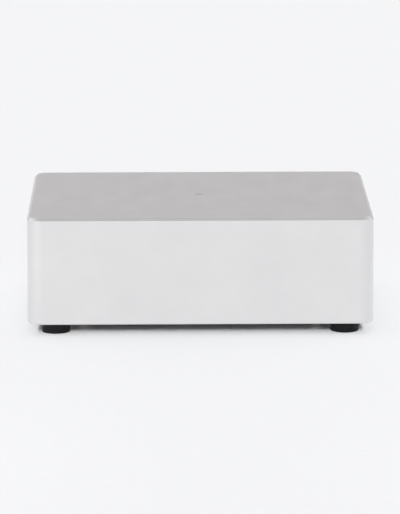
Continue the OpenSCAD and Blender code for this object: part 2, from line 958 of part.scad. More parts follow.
module network_jack_insert() {
    roof = lan_floor + lan_plug_h;
    color("#1d1e20")
        at_port(lan_x)
            difference() {
                translate([0, -lan_insert_sunk, lan_shell_t])
                    port_box(
                        lan_w - 2 * lan_shell_t,
                        lan_l - lan_shell_t - lan_insert_sunk,
                        lan_h - 2 * lan_shell_t
                    );
                translate([0, past, lan_floor])
                    port_box(lan_plug_w, lan_plug_l + past, lan_plug_h);
                translate([0, past, lan_floor - lan_latch_h])
                    port_box(lan_latch_w, lan_plug_l + past, lan_latch_h + past);
                at_lan_lights()
                    translate([0, past, 0])
                        port_box(lan_light_w, lan_light_w + past, lan_light_h);
            }
}

// Repeats its children at the two link lights, in the jack's upper corners
module at_lan_lights() {
    x = lan_w / 2 - 2 * lan_shell_t - lan_light_w / 2;
    for (s = [-1, 1])
        translate([s * x, 0, lan_h - 2 * lan_shell_t - lan_light_h])
            children();
}

module network_jack_contacts() {
    z = lan_floor + lan_plug_h - lan_pin_drop - lan_pin_t;
    color("gold")
        at_port(lan_x)
            for (i = [0 : lan_pins - 1])
                translate([(i - (lan_pins - 1) / 2) * lan_pitch, -lan_pin_sunk, z])
                    port_box(lan_pin_t, lan_plug_l - lan_pin_sunk, lan_pin_t);
}

module network_jack_lights() {
    color("palegreen")
        at_port(lan_x)
            at_lan_lights()
                translate([0, -lan_insert_sunk, 0])
                    port_box(lan_light_w, lan_light_w - lan_insert_sunk, lan_light_h);
}

// Data sockets

module usb_shell(x) {
    color("lightgray")
        at_port(x)
            difference() {
                port_box(usb_w, usb_l, usb_h);
                translate([0, past, usb_shell_t])
                    port_box(usb_w - 2 * usb_shell_t, usb_l - usb_shell_t + past, usb_h - 2 * usb_shell_t);
            }
}

module usb_insert(x) {
    color("#26282b")
        at_port(x) {
            difference() {
                translate([0, -usb_shell_t, usb_shell_t])
                    port_box(usb_w - 2 * usb_shell_t, usb_l - 2 * usb_shell_t, usb_h - 2 * usb_shell_t);
                for (z = usb_open_z)
                    translate([0, past, z - usb_plug_h / 2])
                        port_box(usb_plug_w, usb_plug_l + past, usb_plug_h);
            }
            for (z = usb_open_z)
                translate([0, -tongue_sunk, z + tongue_z - tongue_t / 2])
                    port_box(tongue_w, usb_plug_l - tongue_sunk + past, tongue_t);
        }
}

module usb_contacts(x) {
    color("gold")
        at_port(x)
            for (z = usb_open_z, i = [0 : usb_pins - 1])
                translate([
                    (i - (usb_pins - 1) / 2) * usb_pitch,
                    -2 * tongue_sunk,
                    z + tongue_z - tongue_t / 2 - usb_pin_t
                ])
                    port_box(usb_pin_w, usb_plug_l - 2 * tongue_sunk, usb_pin_t);
}

// Power jack

module power_jack_body() {
    nose_l = port_face - post_back;
    color("#1d1e20")
        at_port(dc_x)
            difference() {
                union() {
                    translate([0, -nose_l, 0])
                        port_box(dc_w, dc_l, dc_h);
                    translate([0, -nose_l - past, axis_rise])
                        rod_y(dc_nose_r, nose_l + past);
                }
                translate([0, -dc_hole_l, axis_rise])
                    rod_y(dc_hole_r, dc_hole_l + past);
                translate([0, -dc_hole_l - dc_pin_root, axis_rise])
                    rod_y(dc_pin_r + pin_seat_gap, dc_pin_root + past);
            }
}

module power_jack_pin() {
    color("silver")
        at_port(dc_x)
            translate([0, -dc_hole_l - dc_pin_root, axis_rise]) {
                rod_y(dc_pin_r, dc_hole_l + dc_pin_root - dc_pin_sunk - dc_pin_r);
                translate([0, dc_hole_l + dc_pin_root - dc_pin_sunk - dc_pin_r, 0])
                    sphere(dc_pin_r);
            }
}

// Optical socket

module optical_body() {
    color("#1d1e20")
        at_port(opt_x)
            difference() {
                port_box(opt_w, opt_l, opt_h);
                translate([0, -lip_t, chamber_floor])
                    port_box(chamber_w, chamber_l - lip_t, chamber_roof - chamber_floor);
                translate([0, past, mouth_sill])
                    port_box(mouth_w, lip_t + 2 * past, mouth_w);
                translate([0, hinge_y, hinge_z])
                    rod_x(hinge_r + pin_seat_gap, chamber_w + 2 * pin_seat_l);
                translate([0, -chamber_l - emitter_root, mouth_sill + mouth_w / 2])
                    rod_y(emitter_r + pin_seat_gap, emitter_root + past);
            }
}

module optical_emitter() {
    color("tomato")
        at_port(opt_x)
            translate([0, -chamber_l - emitter_root, mouth_sill + mouth_w / 2])
                rod_y(emitter_r, emitter_root + emitter_out);
}

module optical_shutter() {
    color("#303235")
        at_port(opt_x)
            difference() {
                union() {
                    translate([-shutter_w / 2, shutter_y, shutter_foot])
                        cube([shutter_w, shutter_t, hinge_z - shutter_foot]);
                    for (s = [-1, 1])
                        translate([s * (spring_bay + knuckle_l) / 2, hinge_y, hinge_z])
                            rod_x(knuckle_r, knuckle_l);
                }
                translate([0, hinge_y, hinge_z])
                    rod_x(hinge_r + hinge_gap, chamber_w);
                // bay for the spring
                translate([-spring_bay / 2, shutter_y - past, hinge_z - spring_r - shutter_side_gap])
                    cube([spring_bay, shutter_t + 2 * past, spring_r + shutter_side_gap + past]);
            }
}

module optical_shutter_pin() {
    color("silver")
        at_port(opt_x)
            translate([0, hinge_y, hinge_z])
                rod_x(hinge_r, chamber_w + 2 * pin_seat_l);
}

module optical_shutter_spring() {
    color("silver")
        at_port(opt_x)
            translate([0, hinge_y, hinge_z])
                difference() {
                    rod_x(spring_r, spring_l);
                    rod_x(hinge_r + pin_seat_gap, spring_l + 2 * past);
                }
}

// Power button

module power_button() {
    cap_l = panel_in - panel_gap - collar_t;
    face = panel_out + button_proud;
    color("#d8d8da")
        translate([button_x, 0, axis_z])
            difference() {
                union() {
                    translate([0, button_back, 0])
                        rod_y(boss_r, boss_l + collar_t / 2);
                    translate([0, cap_l, 0])
                        rod_y(collar_r, collar_t);
                    translate([0, cap_l, 0])
                        rod_y(button_r, face - button_chamfer - cap_l);
                    translate([0, face - button_chamfer, 0])
                        rotate([-90, 0, 0])
                            cylinder(h = button_chamfer, r1 = button_r, r2 = button_r - button_chamfer);
                }
                translate([0, button_back - past, 0])
                    rod_y(plunger_r + plunger_fit, socket_l + past);
            }
}

module power_switch_plunger() {
    color("ivory")
        translate([button_x, switch_front - plunger_root, axis_z])
            rod_y(plunger_r, button_back + socket_l - switch_front + plunger_root);
}

module power_switch_body() {
    bore_l = plunger_root + button_travel + plunger_gap;
    color("#1d1e20")
        difference() {
            translate([button_x, switch_front, board_top])
                port_box(switch_w, switch_l, switch_h);
            translate([button_x, switch_front - bore_l, axis_z])
                rod_y(plunger_r + plunger_gap, bore_l + past);
        }
}

// Reset button

module reset_switch_body() {
    bore_l = reset_root + reset_travel + reset_gap;
    color("#1d1e20")
        translate([reset_at[0], reset_at[1], board_z - reset_h])
            difference() {
                translate([-reset_w / 2, -reset_w / 2, 0])
                    cube([reset_w, reset_w, reset_h]);
                translate([0, 0, -past])
                    cylinder(h = bore_l + past, r = reset_r + reset_gap);
            }
}

module reset_plunger() {
    color("ivory")
        translate([reset_at[0], reset_at[1], board_z - reset_h - reset_out])
            cylinder(h = reset_out + reset_root, r = reset_r);
}

housing();
base_plate();
rear_panel();
rear_panel_screws();
foot(-1, -1);  // foot_front_left
foot(1, -1);  // foot_front_right
foot(-1, 1);  // foot_rear_left
foot(1, 1);  // foot_rear_right
foot_screws();
status_light_guide();
status_led();
insulating_sheet();
board_standoffs();
board_screws();
main_board();
processor();
thermal_pad();
heat_block();
heat_block_screws();
memory_chips();
storage_chip();
clock_oscillators();
network_transformer();
network_controller();
usb_controller();
filter_capacitors();
filter_inductors();
power_regulators();
network_jack_shell();
network_jack_insert();
network_jack_contacts();
network_jack_lights();
usb_shell(usb_x[0]);  // usb_left_shell
usb_insert(usb_x[0]);  // usb_left_insert
usb_contacts(usb_x[0]);  // usb_left_contacts
usb_shell(usb_x[1]);  // usb_right_shell
usb_insert(usb_x[1]);  // usb_right_insert
usb_contacts(usb_x[1]);  // usb_right_contacts
power_jack_body();
power_jack_pin();
optical_body();
optical_emitter();
optical_shutter();
optical_shutter_pin();
optical_shutter_spring();
power_button();
power_switch_body();
power_switch_plunger();
reset_switch_body();
reset_plunger();
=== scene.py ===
# %% [markdown]
# # A network music streamer in a milled aluminium case
# The real object is a small silver box on four rubber feet that plays music from a home network.
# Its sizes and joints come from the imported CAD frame. This script gives it its looks: the pieces
# that show are rebuilt with the soft edges that milling, moulding and stamping leave, and every
# surface gets the finish of its metal, rubber or plastic. Nothing moves from where the frame puts it.

# %% Load the frame
import json
import math

import bmesh
import bpy
from mathutils import Matrix, Vector


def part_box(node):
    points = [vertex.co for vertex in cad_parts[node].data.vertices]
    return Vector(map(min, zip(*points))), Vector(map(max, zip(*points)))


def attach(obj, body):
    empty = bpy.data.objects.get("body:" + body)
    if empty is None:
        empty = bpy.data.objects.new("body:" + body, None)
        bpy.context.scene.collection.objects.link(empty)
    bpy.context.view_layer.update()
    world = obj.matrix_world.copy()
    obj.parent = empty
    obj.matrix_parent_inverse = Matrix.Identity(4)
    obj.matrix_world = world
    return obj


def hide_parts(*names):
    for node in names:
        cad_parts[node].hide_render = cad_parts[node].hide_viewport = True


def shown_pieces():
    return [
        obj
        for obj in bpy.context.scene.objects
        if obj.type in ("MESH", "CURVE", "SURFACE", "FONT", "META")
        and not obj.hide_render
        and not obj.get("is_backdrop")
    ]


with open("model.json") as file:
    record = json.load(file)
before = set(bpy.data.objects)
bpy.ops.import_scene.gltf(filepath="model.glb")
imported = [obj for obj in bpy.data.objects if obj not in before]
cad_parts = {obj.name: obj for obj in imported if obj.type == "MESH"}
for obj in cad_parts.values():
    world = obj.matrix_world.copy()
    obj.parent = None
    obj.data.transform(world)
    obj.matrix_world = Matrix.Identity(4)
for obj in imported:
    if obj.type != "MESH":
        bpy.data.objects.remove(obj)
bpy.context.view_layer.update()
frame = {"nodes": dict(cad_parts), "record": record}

MM = 0.001
X, Y, Z = Vector((1, 0, 0)), Vector((0, 1, 0)), Vector((0, 0, 1))
scene = bpy.context.scene
scene.view_settings.view_transform = "Standard"

# %% [markdown]
# ## Camera
# The photograph was taken with a long lens from a little above the front, so the sides hardly
# converge. A camera can be placed by eye, but here the corners of the case were fitted first: that
# gives the tilt, the distance and the focal length in pixels, and the lens follows from them.


# %% Camera
def span(node):
    """The lowest and highest corner of a CAD node, in millimetres."""
    low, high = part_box(node)
    return Vector(low) / MM, Vector(high) / MM


IMAGE_H = 514
FOCAL_PX = 4005
EYE_DISTANCE = 1327
PITCH, YAW, ROLL = math.radians(10.46), math.radians(0.50), math.radians(-0.145)
# how far the middle of the front lies off the camera's axis
SLIDE_RIGHT, SLIDE_UP = 0.165, -4.795

case_low, case_high = span("housing")
front_middle = Vector((0, case_low.y, (case_low.z + case_high.z) / 2))
forward = Vector((math.sin(YAW) * math.cos(PITCH), math.cos(YAW) * math.cos(PITCH), -math.sin(PITCH)))
level = Vector((math.cos(YAW), -math.sin(YAW), 0))
over = level.cross(forward)
right = math.cos(ROLL) * level + math.sin(ROLL) * over
up = math.cos(ROLL) * over - math.sin(ROLL) * level
eye = front_middle - EYE_DISTANCE * forward - SLIDE_RIGHT * right - SLIDE_UP * up

lens = bpy.data.cameras.new("photo_camera")
lens.lens = FOCAL_PX / IMAGE_H * lens.sensor_width
camera = bpy.data.objects.new("photo_camera", lens)
camera.matrix_world = Matrix.Translation(eye * MM) @ Matrix((right, up, -forward)).transposed().to_4x4()
scene.collection.objects.link(camera)
scene.camera = camera
print("camera:", round(lens.lens, 1), "mm lens at", [round(c) for c in eye], "mm")

# %% [markdown]
# ## Helpers for finishes
# A finish is a small tree of nodes. It could be wired by hand in the shader editor. In a script, one
# function that adds a node, sets its values and links its inputs is enough, and a tree then reads
# from top to bottom. Colours are written as sRGB hex, as a paint chart gives them, and one function
# turns them to the linear values that the sockets take.

# %% Helpers for finishes
# a noise seldom leaves this range
NOISE_LOW, NOISE_HIGH = 0.3, 0.7
NOISE_DETAIL = 2.0


def srgb(code):
    """A colour such as #c0c0c2 as the linear colour that a socket takes."""
    parts = [int(code[i:i + 2], 16) / 255 for i in (1, 3, 5)]
    return tuple(p / 12.92 if p <= 0.04045 else ((p + 0.055) / 1.055) ** 2.4 for p in parts) + (1.0,)


def empty_tree(owner):
    """Turns on the nodes of a material or a world, and takes out those that it starts with."""
    owner.use_nodes = True
    owner.node_tree.nodes.clear()
    return owner.node_tree


def add(tree, kind, sockets=None, **settings):
    """Adds a shader node. A socket's value is a number or colour, or the output that it is linked to."""
    node = tree.nodes.new("ShaderNode" + kind)
    for name, value in settings.items():
        setattr(node, name, value)
    for name, value in (sockets or {}).items():
        if isinstance(value, bpy.types.NodeSocket):
            tree.links.new(value, node.inputs[name])
        else:
            node.inputs[name].default_value = value
    return node


def finish(
    name, dark, light, grain_mm, gloss, relief_mm, metallic=0.0, stretch=(1, 1, 1), cloud_mm=None,
    shader=None,
):
    """A material whose relief follows a grain of a real size.

    Its colour and gloss follow the grain too, or else a broader cloud.
    """
    material = bpy.data.materials.new(name)
    tree = empty_tree(material)
    place = add(tree, "TexCoord")
    turned_to = add(tree, "Mapping", {"Vector": place.outputs["Object"], "Scale": stretch})
    grain = add(tree, "TexNoise", {
        "Vector": turned_to.outputs["Vector"], "Scale": 1 / (grain_mm * MM), "Detail": NOISE_DETAIL})
    cloud = grain if cloud_mm is None else add(tree, "TexNoise", {
        "Vector": place.outputs["Object"], "Scale": 1 / (cloud_mm * MM), "Detail": NOISE_DETAIL})
    # a Mix node takes its colours at sockets 6 and 7, with their mix at 0, and gives its colour at 2
    tone = add(tree, "Mix", {0: cloud.outputs["Fac"], 6: srgb(dark), 7: srgb(light)}, data_type="RGBA")
    rough = add(tree, "MapRange", {
        "Value": cloud.outputs["Fac"], "From Min": NOISE_LOW, "From Max": NOISE_HIGH,
        "To Min": gloss[0], "To Max": gloss[1]})
    relief = add(tree, "Bump", {"Height": grain.outputs["Fac"], "Distance": relief_mm * MM})
    surface = add(tree, "BsdfPrincipled", {
        "Base Color": tone.outputs[2], "Metallic": metallic, "Roughness": rough.outputs["Result"],
        "Normal": relief.outputs["Normal"], **(shader or {})})
    add(tree, "OutputMaterial", {"Surface": surface.outputs["BSDF"]})
    return material


finishes = {}

# %% [markdown]
# ## Finishes of the case
# The case is aluminium, blasted with fine glass beads and then clear anodised. That leaves tiny
# pits that blur every reflection, so the metal looks pale and even, like silk. One grey with one
# roughness would look like paint. Here the pits are a relief, and a broad faint cloud varies colour
# and gloss, as anodising does. The pits are about a tenth of a millimetre, too fine to show here, so
# the grain is drawn at half a millimetre. The feet are moulded rubber, nearly black and dull. The
# screws are turned stainless steel.

# %% Finishes of the case
# bead-blasted, clear anodised aluminium: pale, even and softly shiny
finishes["bead_blasted_aluminium"] = finish(
    "bead_blasted_anodised_aluminium", "#e5e5e5", "#f1f1f1", 0.5, (0.29, 0.37), 0.003, metallic=1.0,
    cloud_mm=16.0, shader={"Specular Tint": srgb("#f3f3f3")})
# moulded natural rubber: nearly black, dull, with a faint bloom
finishes["black_rubber"] = finish(
    "moulded_black_rubber", "#0f0f11", "#171719", 0.6, (0.55, 0.75), 0.02, shader={"IOR": 1.36})
# turned stainless steel: grey, with a clear but soft shine
finishes["stainless_steel"] = finish(
    "turned_stainless_steel", "#a9a7a3", "#c2c0bc", 0.15, (0.22, 0.34), 0.002, metallic=1.0)
# frosted acrylic: a light guide that is grey and milky while it is dark
finishes["frosted_acrylic"] = finish(
    "frosted_acrylic", "#d0d0d1", "#dededf", 0.4, (0.35, 0.5), 0.002,
    shader={"IOR": 1.49, "Subsurface Weight": 0.3, "Subsurface Scale": 0.0005})
print("case finishes:", ", ".join(m.name for m in finishes.values()))

# %% [markdown]
# ## Wipe marks on the top
# The top is the face that hands and dust reach, so it is wiped from back to front, and the blasted
# metal keeps faint long blotches from that, a little lighter and darker than the rest. They could be
# a second material on the top face, but a mask on the way that a face looks needs no seam: the
# blotches fade out where the top turns over into the chamfer.

# %% Wipe marks on the top
MARK_MM, MARK_STRETCH, MARK_DEPTH = 8.0, (1.0, 0.35, 1.0), 0.026
TOP_STARTS, TOP_FULL = 0.9, 1.0
tree = finishes["bead_blasted_aluminium"].node_tree
surface = next(n for n in tree.nodes if n.type == "BSDF_PRINCIPLED")
clean = surface.inputs["Base Color"].links[0].from_socket
place = add(tree, "TexCoord")
wiped = add(tree, "Mapping", {"Vector": place.outputs["Object"], "Scale": MARK_STRETCH})
marks = add(tree, "TexNoise", {
    "Vector": wiped.outputs["Vector"], "Scale": 1 / (MARK_MM * MM), "Detail": NOISE_DETAIL})
shade = add(tree, "MapRange", {
    "Value": marks.outputs["Fac"], "From Min": NOISE_LOW, "From Max": NOISE_HIGH,
    "To Min": 1 - MARK_DEPTH, "To Max": 1 + MARK_DEPTH})
facing = add(tree, "NewGeometry")
upward = add(tree, "SeparateXYZ", {"Vector": facing.outputs["Normal"]})
on_top = add(tree, "MapRange", {"Value": upward.outputs["Z"], "From Min": TOP_STARTS, "From Max": TOP_FULL})
marked = add(
    tree, "Mix", {0: on_top.outputs["Result"], 6: clean, 7: shade.outputs["Result"]}, data_type="RGBA",
    blend_type="MULTIPLY")
tree.links.new(marked.outputs[2], surface.inputs["Base Color"])
print("wipe marks:", MARK_MM, "mm wide on the top of", finishes["bead_blasted_aluminium"].name)

# %% [markdown]
# ## Finishes of the sockets
# Sockets are bought-in parts: bright nickel-plated steel shells round black moulded nylon, with
# gold-flashed contacts. They are much shinier or darker than the case, which is what makes a rear
# panel easy to read. One metal and one plastic would do from afar, but the panel is also seen close
# up, so each gets its own grain. Real grains are a few hundredths of a millimetre, too fine to show
# here, so they are drawn about ten times as coarse, enough to break up the shine a little.

# %% Finishes of the sockets
# nickel-plated stamped steel: bright, faintly warm, with rolling marks along the sheet
finishes["nickel_plate"] = finish(
    "nickel_plated_steel", "#c4c1ba", "#d6d3cc", 0.4, (0.16, 0.28), 0.002, metallic=1.0, stretch=(1, 0.1, 1))
# glass-filled nylon: black, moulded with a fine spark-eroded texture
finishes["black_nylon"] = finish(
    "moulded_black_nylon", "#141415", "#222224", 0.35, (0.42, 0.6), 0.01, shader={"IOR": 1.53})
# gold flash over spring bronze: warm yellow, with a sharp small shine
finishes["gold_plate"] = finish(
    "gold_flashed_bronze", "#d9a95a", "#eac47c", 0.3, (0.18, 0.3), 0.001, metallic=1.0)
# clear tinted styrene of the link lights: pale green and glassy
finishes["light_pipe"] = finish(
    "tinted_light_pipe", "#b9c99a", "#d2deb8", 0.5, (0.12, 0.25), 0.001,
    shader={"IOR": 1.55, "Transmission Weight": 0.25})
# red epoxy lens of the optical sender: dark red and glossy
finishes["red_lens"] = finish(
    "red_epoxy_lens", "#7a1712", "#9a2119", 0.5, (0.08, 0.18), 0.001,
    shader={"IOR": 1.54, "Transmission Weight": 0.3})
# natural nylon: creamy, a little waxy
finishes["white_nylon"] = finish(
    "natural_nylon", "#d9d4c6", "#e8e4d8", 0.6, (0.35, 0.5), 0.004,
    shader={"IOR": 1.53, "Subsurface Weight": 0.15, "Subsurface Scale": 0.0005})
print("finishes so far:", len(finishes))

# %% [markdown]
# ## Finishes inside the case
# Nobody sees these until the base comes off, but each piece still gets the finish of its real
# material: black epoxy chips, drawn cans, brass standoffs and a milled heat block. They could all be
# left grey. With their own colours, the inside can be read at once when the case is taken apart. Their
# grains are drawn coarser than real ones in the same way.

# %% Finishes inside the case
# clear epoxy over a yellow phosphor: pale yellow and glossy
finishes["led_package"] = finish(
    "led_epoxy", "#d8cf9a", "#ece6c4", 0.2, (0.1, 0.2), 0.001, shader={"IOR": 1.53})
# black polyester film: smooth, with a broad dim shine
finishes["insulating_film"] = finish(
    "polyester_film", "#17181a", "#202124", 2.0, (0.25, 0.4), 0.002, shader={"IOR": 1.64})
# turned brass: yellow and bright
finishes["brass"] = finish(
    "turned_brass", "#b08a46", "#c9a35c", 0.2, (0.2, 0.32), 0.002, metallic=1.0)
# moulded epoxy: black and slightly rough
finishes["chip_epoxy"] = finish(
    "moulded_epoxy", "#18181a", "#26262a", 0.2, (0.5, 0.7), 0.006, shader={"IOR": 1.55})
# soft silicone pad, filled with ceramic: pink and quite matt
finishes["thermal_silicone"] = finish(
    "silicone_gap_pad", "#c98a90", "#dca3a8", 0.4, (0.6, 0.8), 0.02, shader={"IOR": 1.41})
# milled aluminium: bright, with the cutter's passes along the block
finishes["machined_aluminium"] = finish(
    "milled_aluminium", "#cfcfd0", "#e6e6e8", 0.5, (0.25, 0.4), 0.004, metallic=1.0, stretch=(1, 0.05, 1))
# drawn, tin-plated steel can: grey with a soft shine
finishes["tin_can"] = finish(
    "tin_plated_can", "#b5b3ae", "#cbc9c4", 0.3, (0.25, 0.36), 0.002, metallic=1.0)
# drawn aluminium can of a capacitor: bluish grey, with drawing marks up its side
finishes["capacitor_can"] = finish(
    "drawn_aluminium_can", "#a8abb2", "#c3c6cc", 0.3, (0.28, 0.4), 0.002, metallic=1.0, stretch=(1, 1, 0.1))
# pressed iron powder: dark grey and grainy
finishes["ferrite"] = finish(
    "pressed_ferrite", "#3c3d41", "#52545a", 0.15, (0.6, 0.8), 0.01, shader={"IOR": 2.0})
print("finishes so far:", len(finishes))

# %% [markdown]
# ## The board's lacquer
# A circuit board is glass cloth under green lacquer. Its copper tracks lie under the lacquer and show
# as lighter lines that run square to each other. An image would be the usual way. Here a pattern of
# cells with square distances gives blocks, and the narrow gaps between them make the tracks, so the
# board needs no file.

# %% The board's lacquer
TRACK_SPACING_MM, TRACK_RELIEF_MM, TRACK_SCATTER = 2.5, 0.03, 0.8
TRACK_STARTS, TRACK_FULL = 0.42, 0.48
# epoxy lacquer over copper: green and glossy, lighter over the tracks
board_lacquer = bpy.data.materials.new("green_solder_lacquer")
tree = empty_tree(board_lacquer)
place = add(tree, "TexCoord")
blocks = add(tree, "TexVoronoi", {
    "Vector": place.outputs["Object"], "Scale": 1 / (TRACK_SPACING_MM * MM), "Randomness": TRACK_SCATTER},
    feature="F1", distance="CHEBYCHEV")
track = add(tree, "MapRange", {
    "Value": blocks.outputs["Distance"], "From Min": TRACK_STARTS, "From Max": TRACK_FULL})
tone = add(tree, "Mix", {
    0: track.outputs["Result"], 6: srgb("#123a22"), 7: srgb("#1f5a33")}, data_type="RGBA")
relief = add(tree, "Bump", {"Height": track.outputs["Result"], "Distance": TRACK_RELIEF_MM * MM})
surface = add(tree, "BsdfPrincipled", {
    "Base Color": tone.outputs[2], "Roughness": 0.3, "IOR": 1.5, "Normal": relief.outputs["Normal"]})
add(tree, "OutputMaterial", {"Surface": surface.outputs["BSDF"]})
finishes["circuit_board"] = board_lacquer
print("board lacquer: tracks every", TRACK_SPACING_MM, "mm")

# %% [markdown]
# ## Finishes on the CAD nodes
# The record names a material slot for every node of the assembly. Materials could be given out one
# by one, but the slots have the same names as the finishes, so a short loop gives every node its own.
# The pieces that are rebuilt below take their finishes from the same list.

# %% Finishes on the CAD nodes
for part in frame["record"]["subparts"]:
    solid = frame["nodes"][part["node"]]
    solid.data.materials.clear()
    solid.data.materials.append(finishes[part["material_slot"]])
print("every CAD node has one of", len(finishes), "finishes")

# %% [markdown]
# ## Blocks, bevels and pieces
# Most pieces of the real object start as a block of metal or as a mould with flat walls. They could
# be drawn face by face in the editor. These few helpers follow the workshop instead: they make a
# block between two corners, find the edges that run one way or lie at one level, and bevel them.
# They work in millimetres and leave a piece's place in its mesh. The last one makes a piece of it,
# with its finish, the body that carries it and the CAD node that it stands for.

# %% Blocks, bevels and pieces
SAME_LEVEL, SAME_WAY = 0.002, 0.999


def block(low, high):
    """Makes a box between two corners."""
    bm = bmesh.new()
    low, high = Vector(low) * MM, Vector(high) * MM
    place = Matrix.Translation((low + high) / 2) @ Matrix.Diagonal((*(high - low), 1))
    bmesh.ops.create_cube(bm, size=1, matrix=place)
    return bm


def edges_along(bm, axis):
    """The straight edges that run along an axis."""
    return [e for e in bm.edges if abs((e.verts[1].co - e.verts[0].co).normalized().dot(axis)) > SAME_WAY]


def edges_at(bm, axis, level):
    """The edges that lie at one level along an axis."""
    return [e for e in bm.edges if all(abs(v.co.dot(axis) - level * MM) < SAME_LEVEL * MM for v in e.verts)]


def bevel(bm, edges, size, segments):
    """Rounds or chamfers some edges."""
    bmesh.ops.bevel(
        bm, geom=edges, offset=size * MM, offset_type="OFFSET", segments=segments, profile=0.5,
        affect="EDGES", material=-1, clamp_overlap=True)
    return bm


def make_piece(name, bm, slot, body, node):
    """Makes a bmesh a piece that rides on a body, and stands for a CAD node."""
    mesh = bpy.data.meshes.new(name)
    bm.to_mesh(mesh)
    bm.free()
    mesh.materials.append(finishes[slot])
    piece = bpy.data.objects.new(name, mesh)
    scene.collection.objects.link(piece)
    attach(piece, body)
    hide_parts(node)
    return piece


# %% [markdown]
# ## The housing
# The top and the walls are milled from one block: rounded upright corners and a narrow flat chamfer
# round the top. It could be modelled face by face, but it is made here as it is in the workshop: a
# block with its edges bevelled, and then one cut after another. A bevel of one segment is a chamfer,
# and one of many segments is a round corner.

# %% The housing
CORNER_R, TOP_CHAMFER, BOTTOM_BREAK, CORNER_STEPS = 5.0, 0.85, 0.4, 20
outline = block(case_low, case_high)
bevel(outline, edges_along(outline, Z), CORNER_R, CORNER_STEPS)
bevel(outline, edges_at(outline, Z, case_high.z), TOP_CHAMFER, segments=1)
bevel(outline, edges_at(outline, Z, case_low.z), BOTTOM_BREAK, segments=1)
housing = make_piece("milled_housing", outline, "bead_blasted_aluminium", "case", "housing")
print("block:", [round(c, 1) for c in case_high - case_low], "mm")

# %% [markdown]
# ## Cuts
# In the workshop a cutter takes metal away, and in a mould two shapes run together. In Blender the
# Boolean modifier does both. It could stay live on the piece, but then every cutter would stay in the
# scene. Here each cut is applied at once with the exact solver and its cutter is deleted, so the cuts
# can be read one at a time.


# %% Cuts
def combine(piece, bm, operation="DIFFERENCE"):
    """Cuts a bmesh out of a piece, or joins it to the piece."""
    mesh = bpy.data.meshes.new("cutter")
    bm.to_mesh(mesh)
    bm.free()
    cutter = bpy.data.objects.new("cutter", mesh)
    scene.collection.objects.link(cutter)
    cut = piece.modifiers.new("cut", "BOOLEAN")
    cut.object, cut.operation, cut.solver = cutter, operation, "EXACT"
    seen = piece.evaluated_get(bpy.context.evaluated_depsgraph_get())
    result = bpy.data.meshes.new_from_object(seen)
    piece.modifiers.remove(cut)
    before, piece.data = piece.data, result
    result.name = piece.name
    bpy.data.meshes.remove(before)
    bpy.data.objects.remove(cutter)
    bpy.data.meshes.remove(mesh)
    return piece


# %% [markdown]
# ## Pocket, posts and rear window
# A cutter opens the block from below: first a shallow rebate for the base plate, then the pocket for
# the electronics. It leaves a square post in each corner, which the screws bite into. The rear wall
# has a window with a thin bezel. One cutter with the shape of the whole hollow would do, but plain
# blocks that overlap are easier to read, and each passes a little beyond the face that it opens.

# %% Pocket, posts and rear window
WALL, BEZEL, CEILING, BASE_TOP = 3.0, 1.5, 36.8, 6.0
POST_X, POST_Y, POST_R, POST_BACK = 48.25, 38.75, 4.5, 44.3
WINDOW_X, WINDOW_TOP, WINDOW_R, POCKET_STEPS = 51.0, 35.3, 2.0, 8
PAST = 1.0
inner_x, front_in, rear_in = case_high.x - WALL, case_low.y + WALL, case_high.y - BEZEL
rebate = block((-inner_x, front_in, case_low.z - PAST), (inner_x, rear_in, BASE_TOP))
combine(housing, bevel(rebate, edges_along(rebate, Z), CORNER_R - WALL, POCKET_STEPS))
between_x, between_y = POST_X - POST_R, POST_Y - POST_R
for low, high in (
    ((-between_x, front_in, BASE_TOP - PAST), (between_x, rear_in, CEILING)),
    ((-inner_x, -between_y, BASE_TOP - PAST), (inner_x, between_y, CEILING)),
    ((-inner_x, POST_BACK, BASE_TOP - PAST), (inner_x, rear_in, CEILING)),
):
    combine(housing, block(low, high))

window = block((-WINDOW_X, rear_in - PAST, case_low.z - PAST), (WINDOW_X, case_high.y + PAST, WINDOW_TOP))
window_top = [e for e in edges_along(window, Y) if e.verts[0].co.z > (WINDOW_TOP - SAME_LEVEL) * MM]
combine(housing, bevel(window, window_top, WINDOW_R, POCKET_STEPS))
print("pocket:", round(2 * inner_x, 1), "mm wide, ceiling at", CEILING, "mm")

# %% [markdown]
# ## Turned shapes
# Bores, screws, feet and the button are round, and most come off a lathe. Blender has a cylinder to
# start from, but each step or chamfer on it would be one more operation. So a profile, half of what a
# cut down the middle would show, is spun once round its axis. A plain rod is the simplest profile.

# %% Turned shapes
MERGE = 0.0005


def turned(profile, centre, axis, steps=48, bm=None):
    """Turns a profile of (radius, height along the axis) points round an axis through the centre."""
    bm = bm or bmesh.new()
    out = Z if axis == X else X
    verts = [bm.verts.new((Vector(centre) + r * out + h * axis) * MM) for r, h in profile]
    edges = [bm.edges.new(pair) for pair in zip(verts, verts[1:])]
    bmesh.ops.spin(
        bm, geom=verts + edges, cent=Vector(centre) * MM, axis=axis, dvec=(0, 0, 0),
        angle=math.tau, steps=steps, use_merge=True)
    bmesh.ops.remove_doubles(bm, verts=bm.verts, dist=MERGE * MM)
    bmesh.ops.recalc_face_normals(bm, faces=bm.faces)
    return bm


def rod(radius, start, end, centre, axis, steps=48, bm=None):
    """Adds a plain rod along an axis, from start to end."""
    return turned([(0, start), (radius, start), (radius, end), (0, end)], centre, axis, steps, bm)


# %% [markdown]
# ## Soft edges
# Milled, moulded and stamped edges are never quite sharp: a narrow round on each catches a line of
# light. The edges could be bevelled in the mesh, but after many cuts they are hard to pick. A bevel
# modifier finds them by their angle, and weighted normals then keep the large faces flat in the shine.

# %% Soft edges
SOFT_ANGLE, SOFT_STEPS = math.radians(28), 2


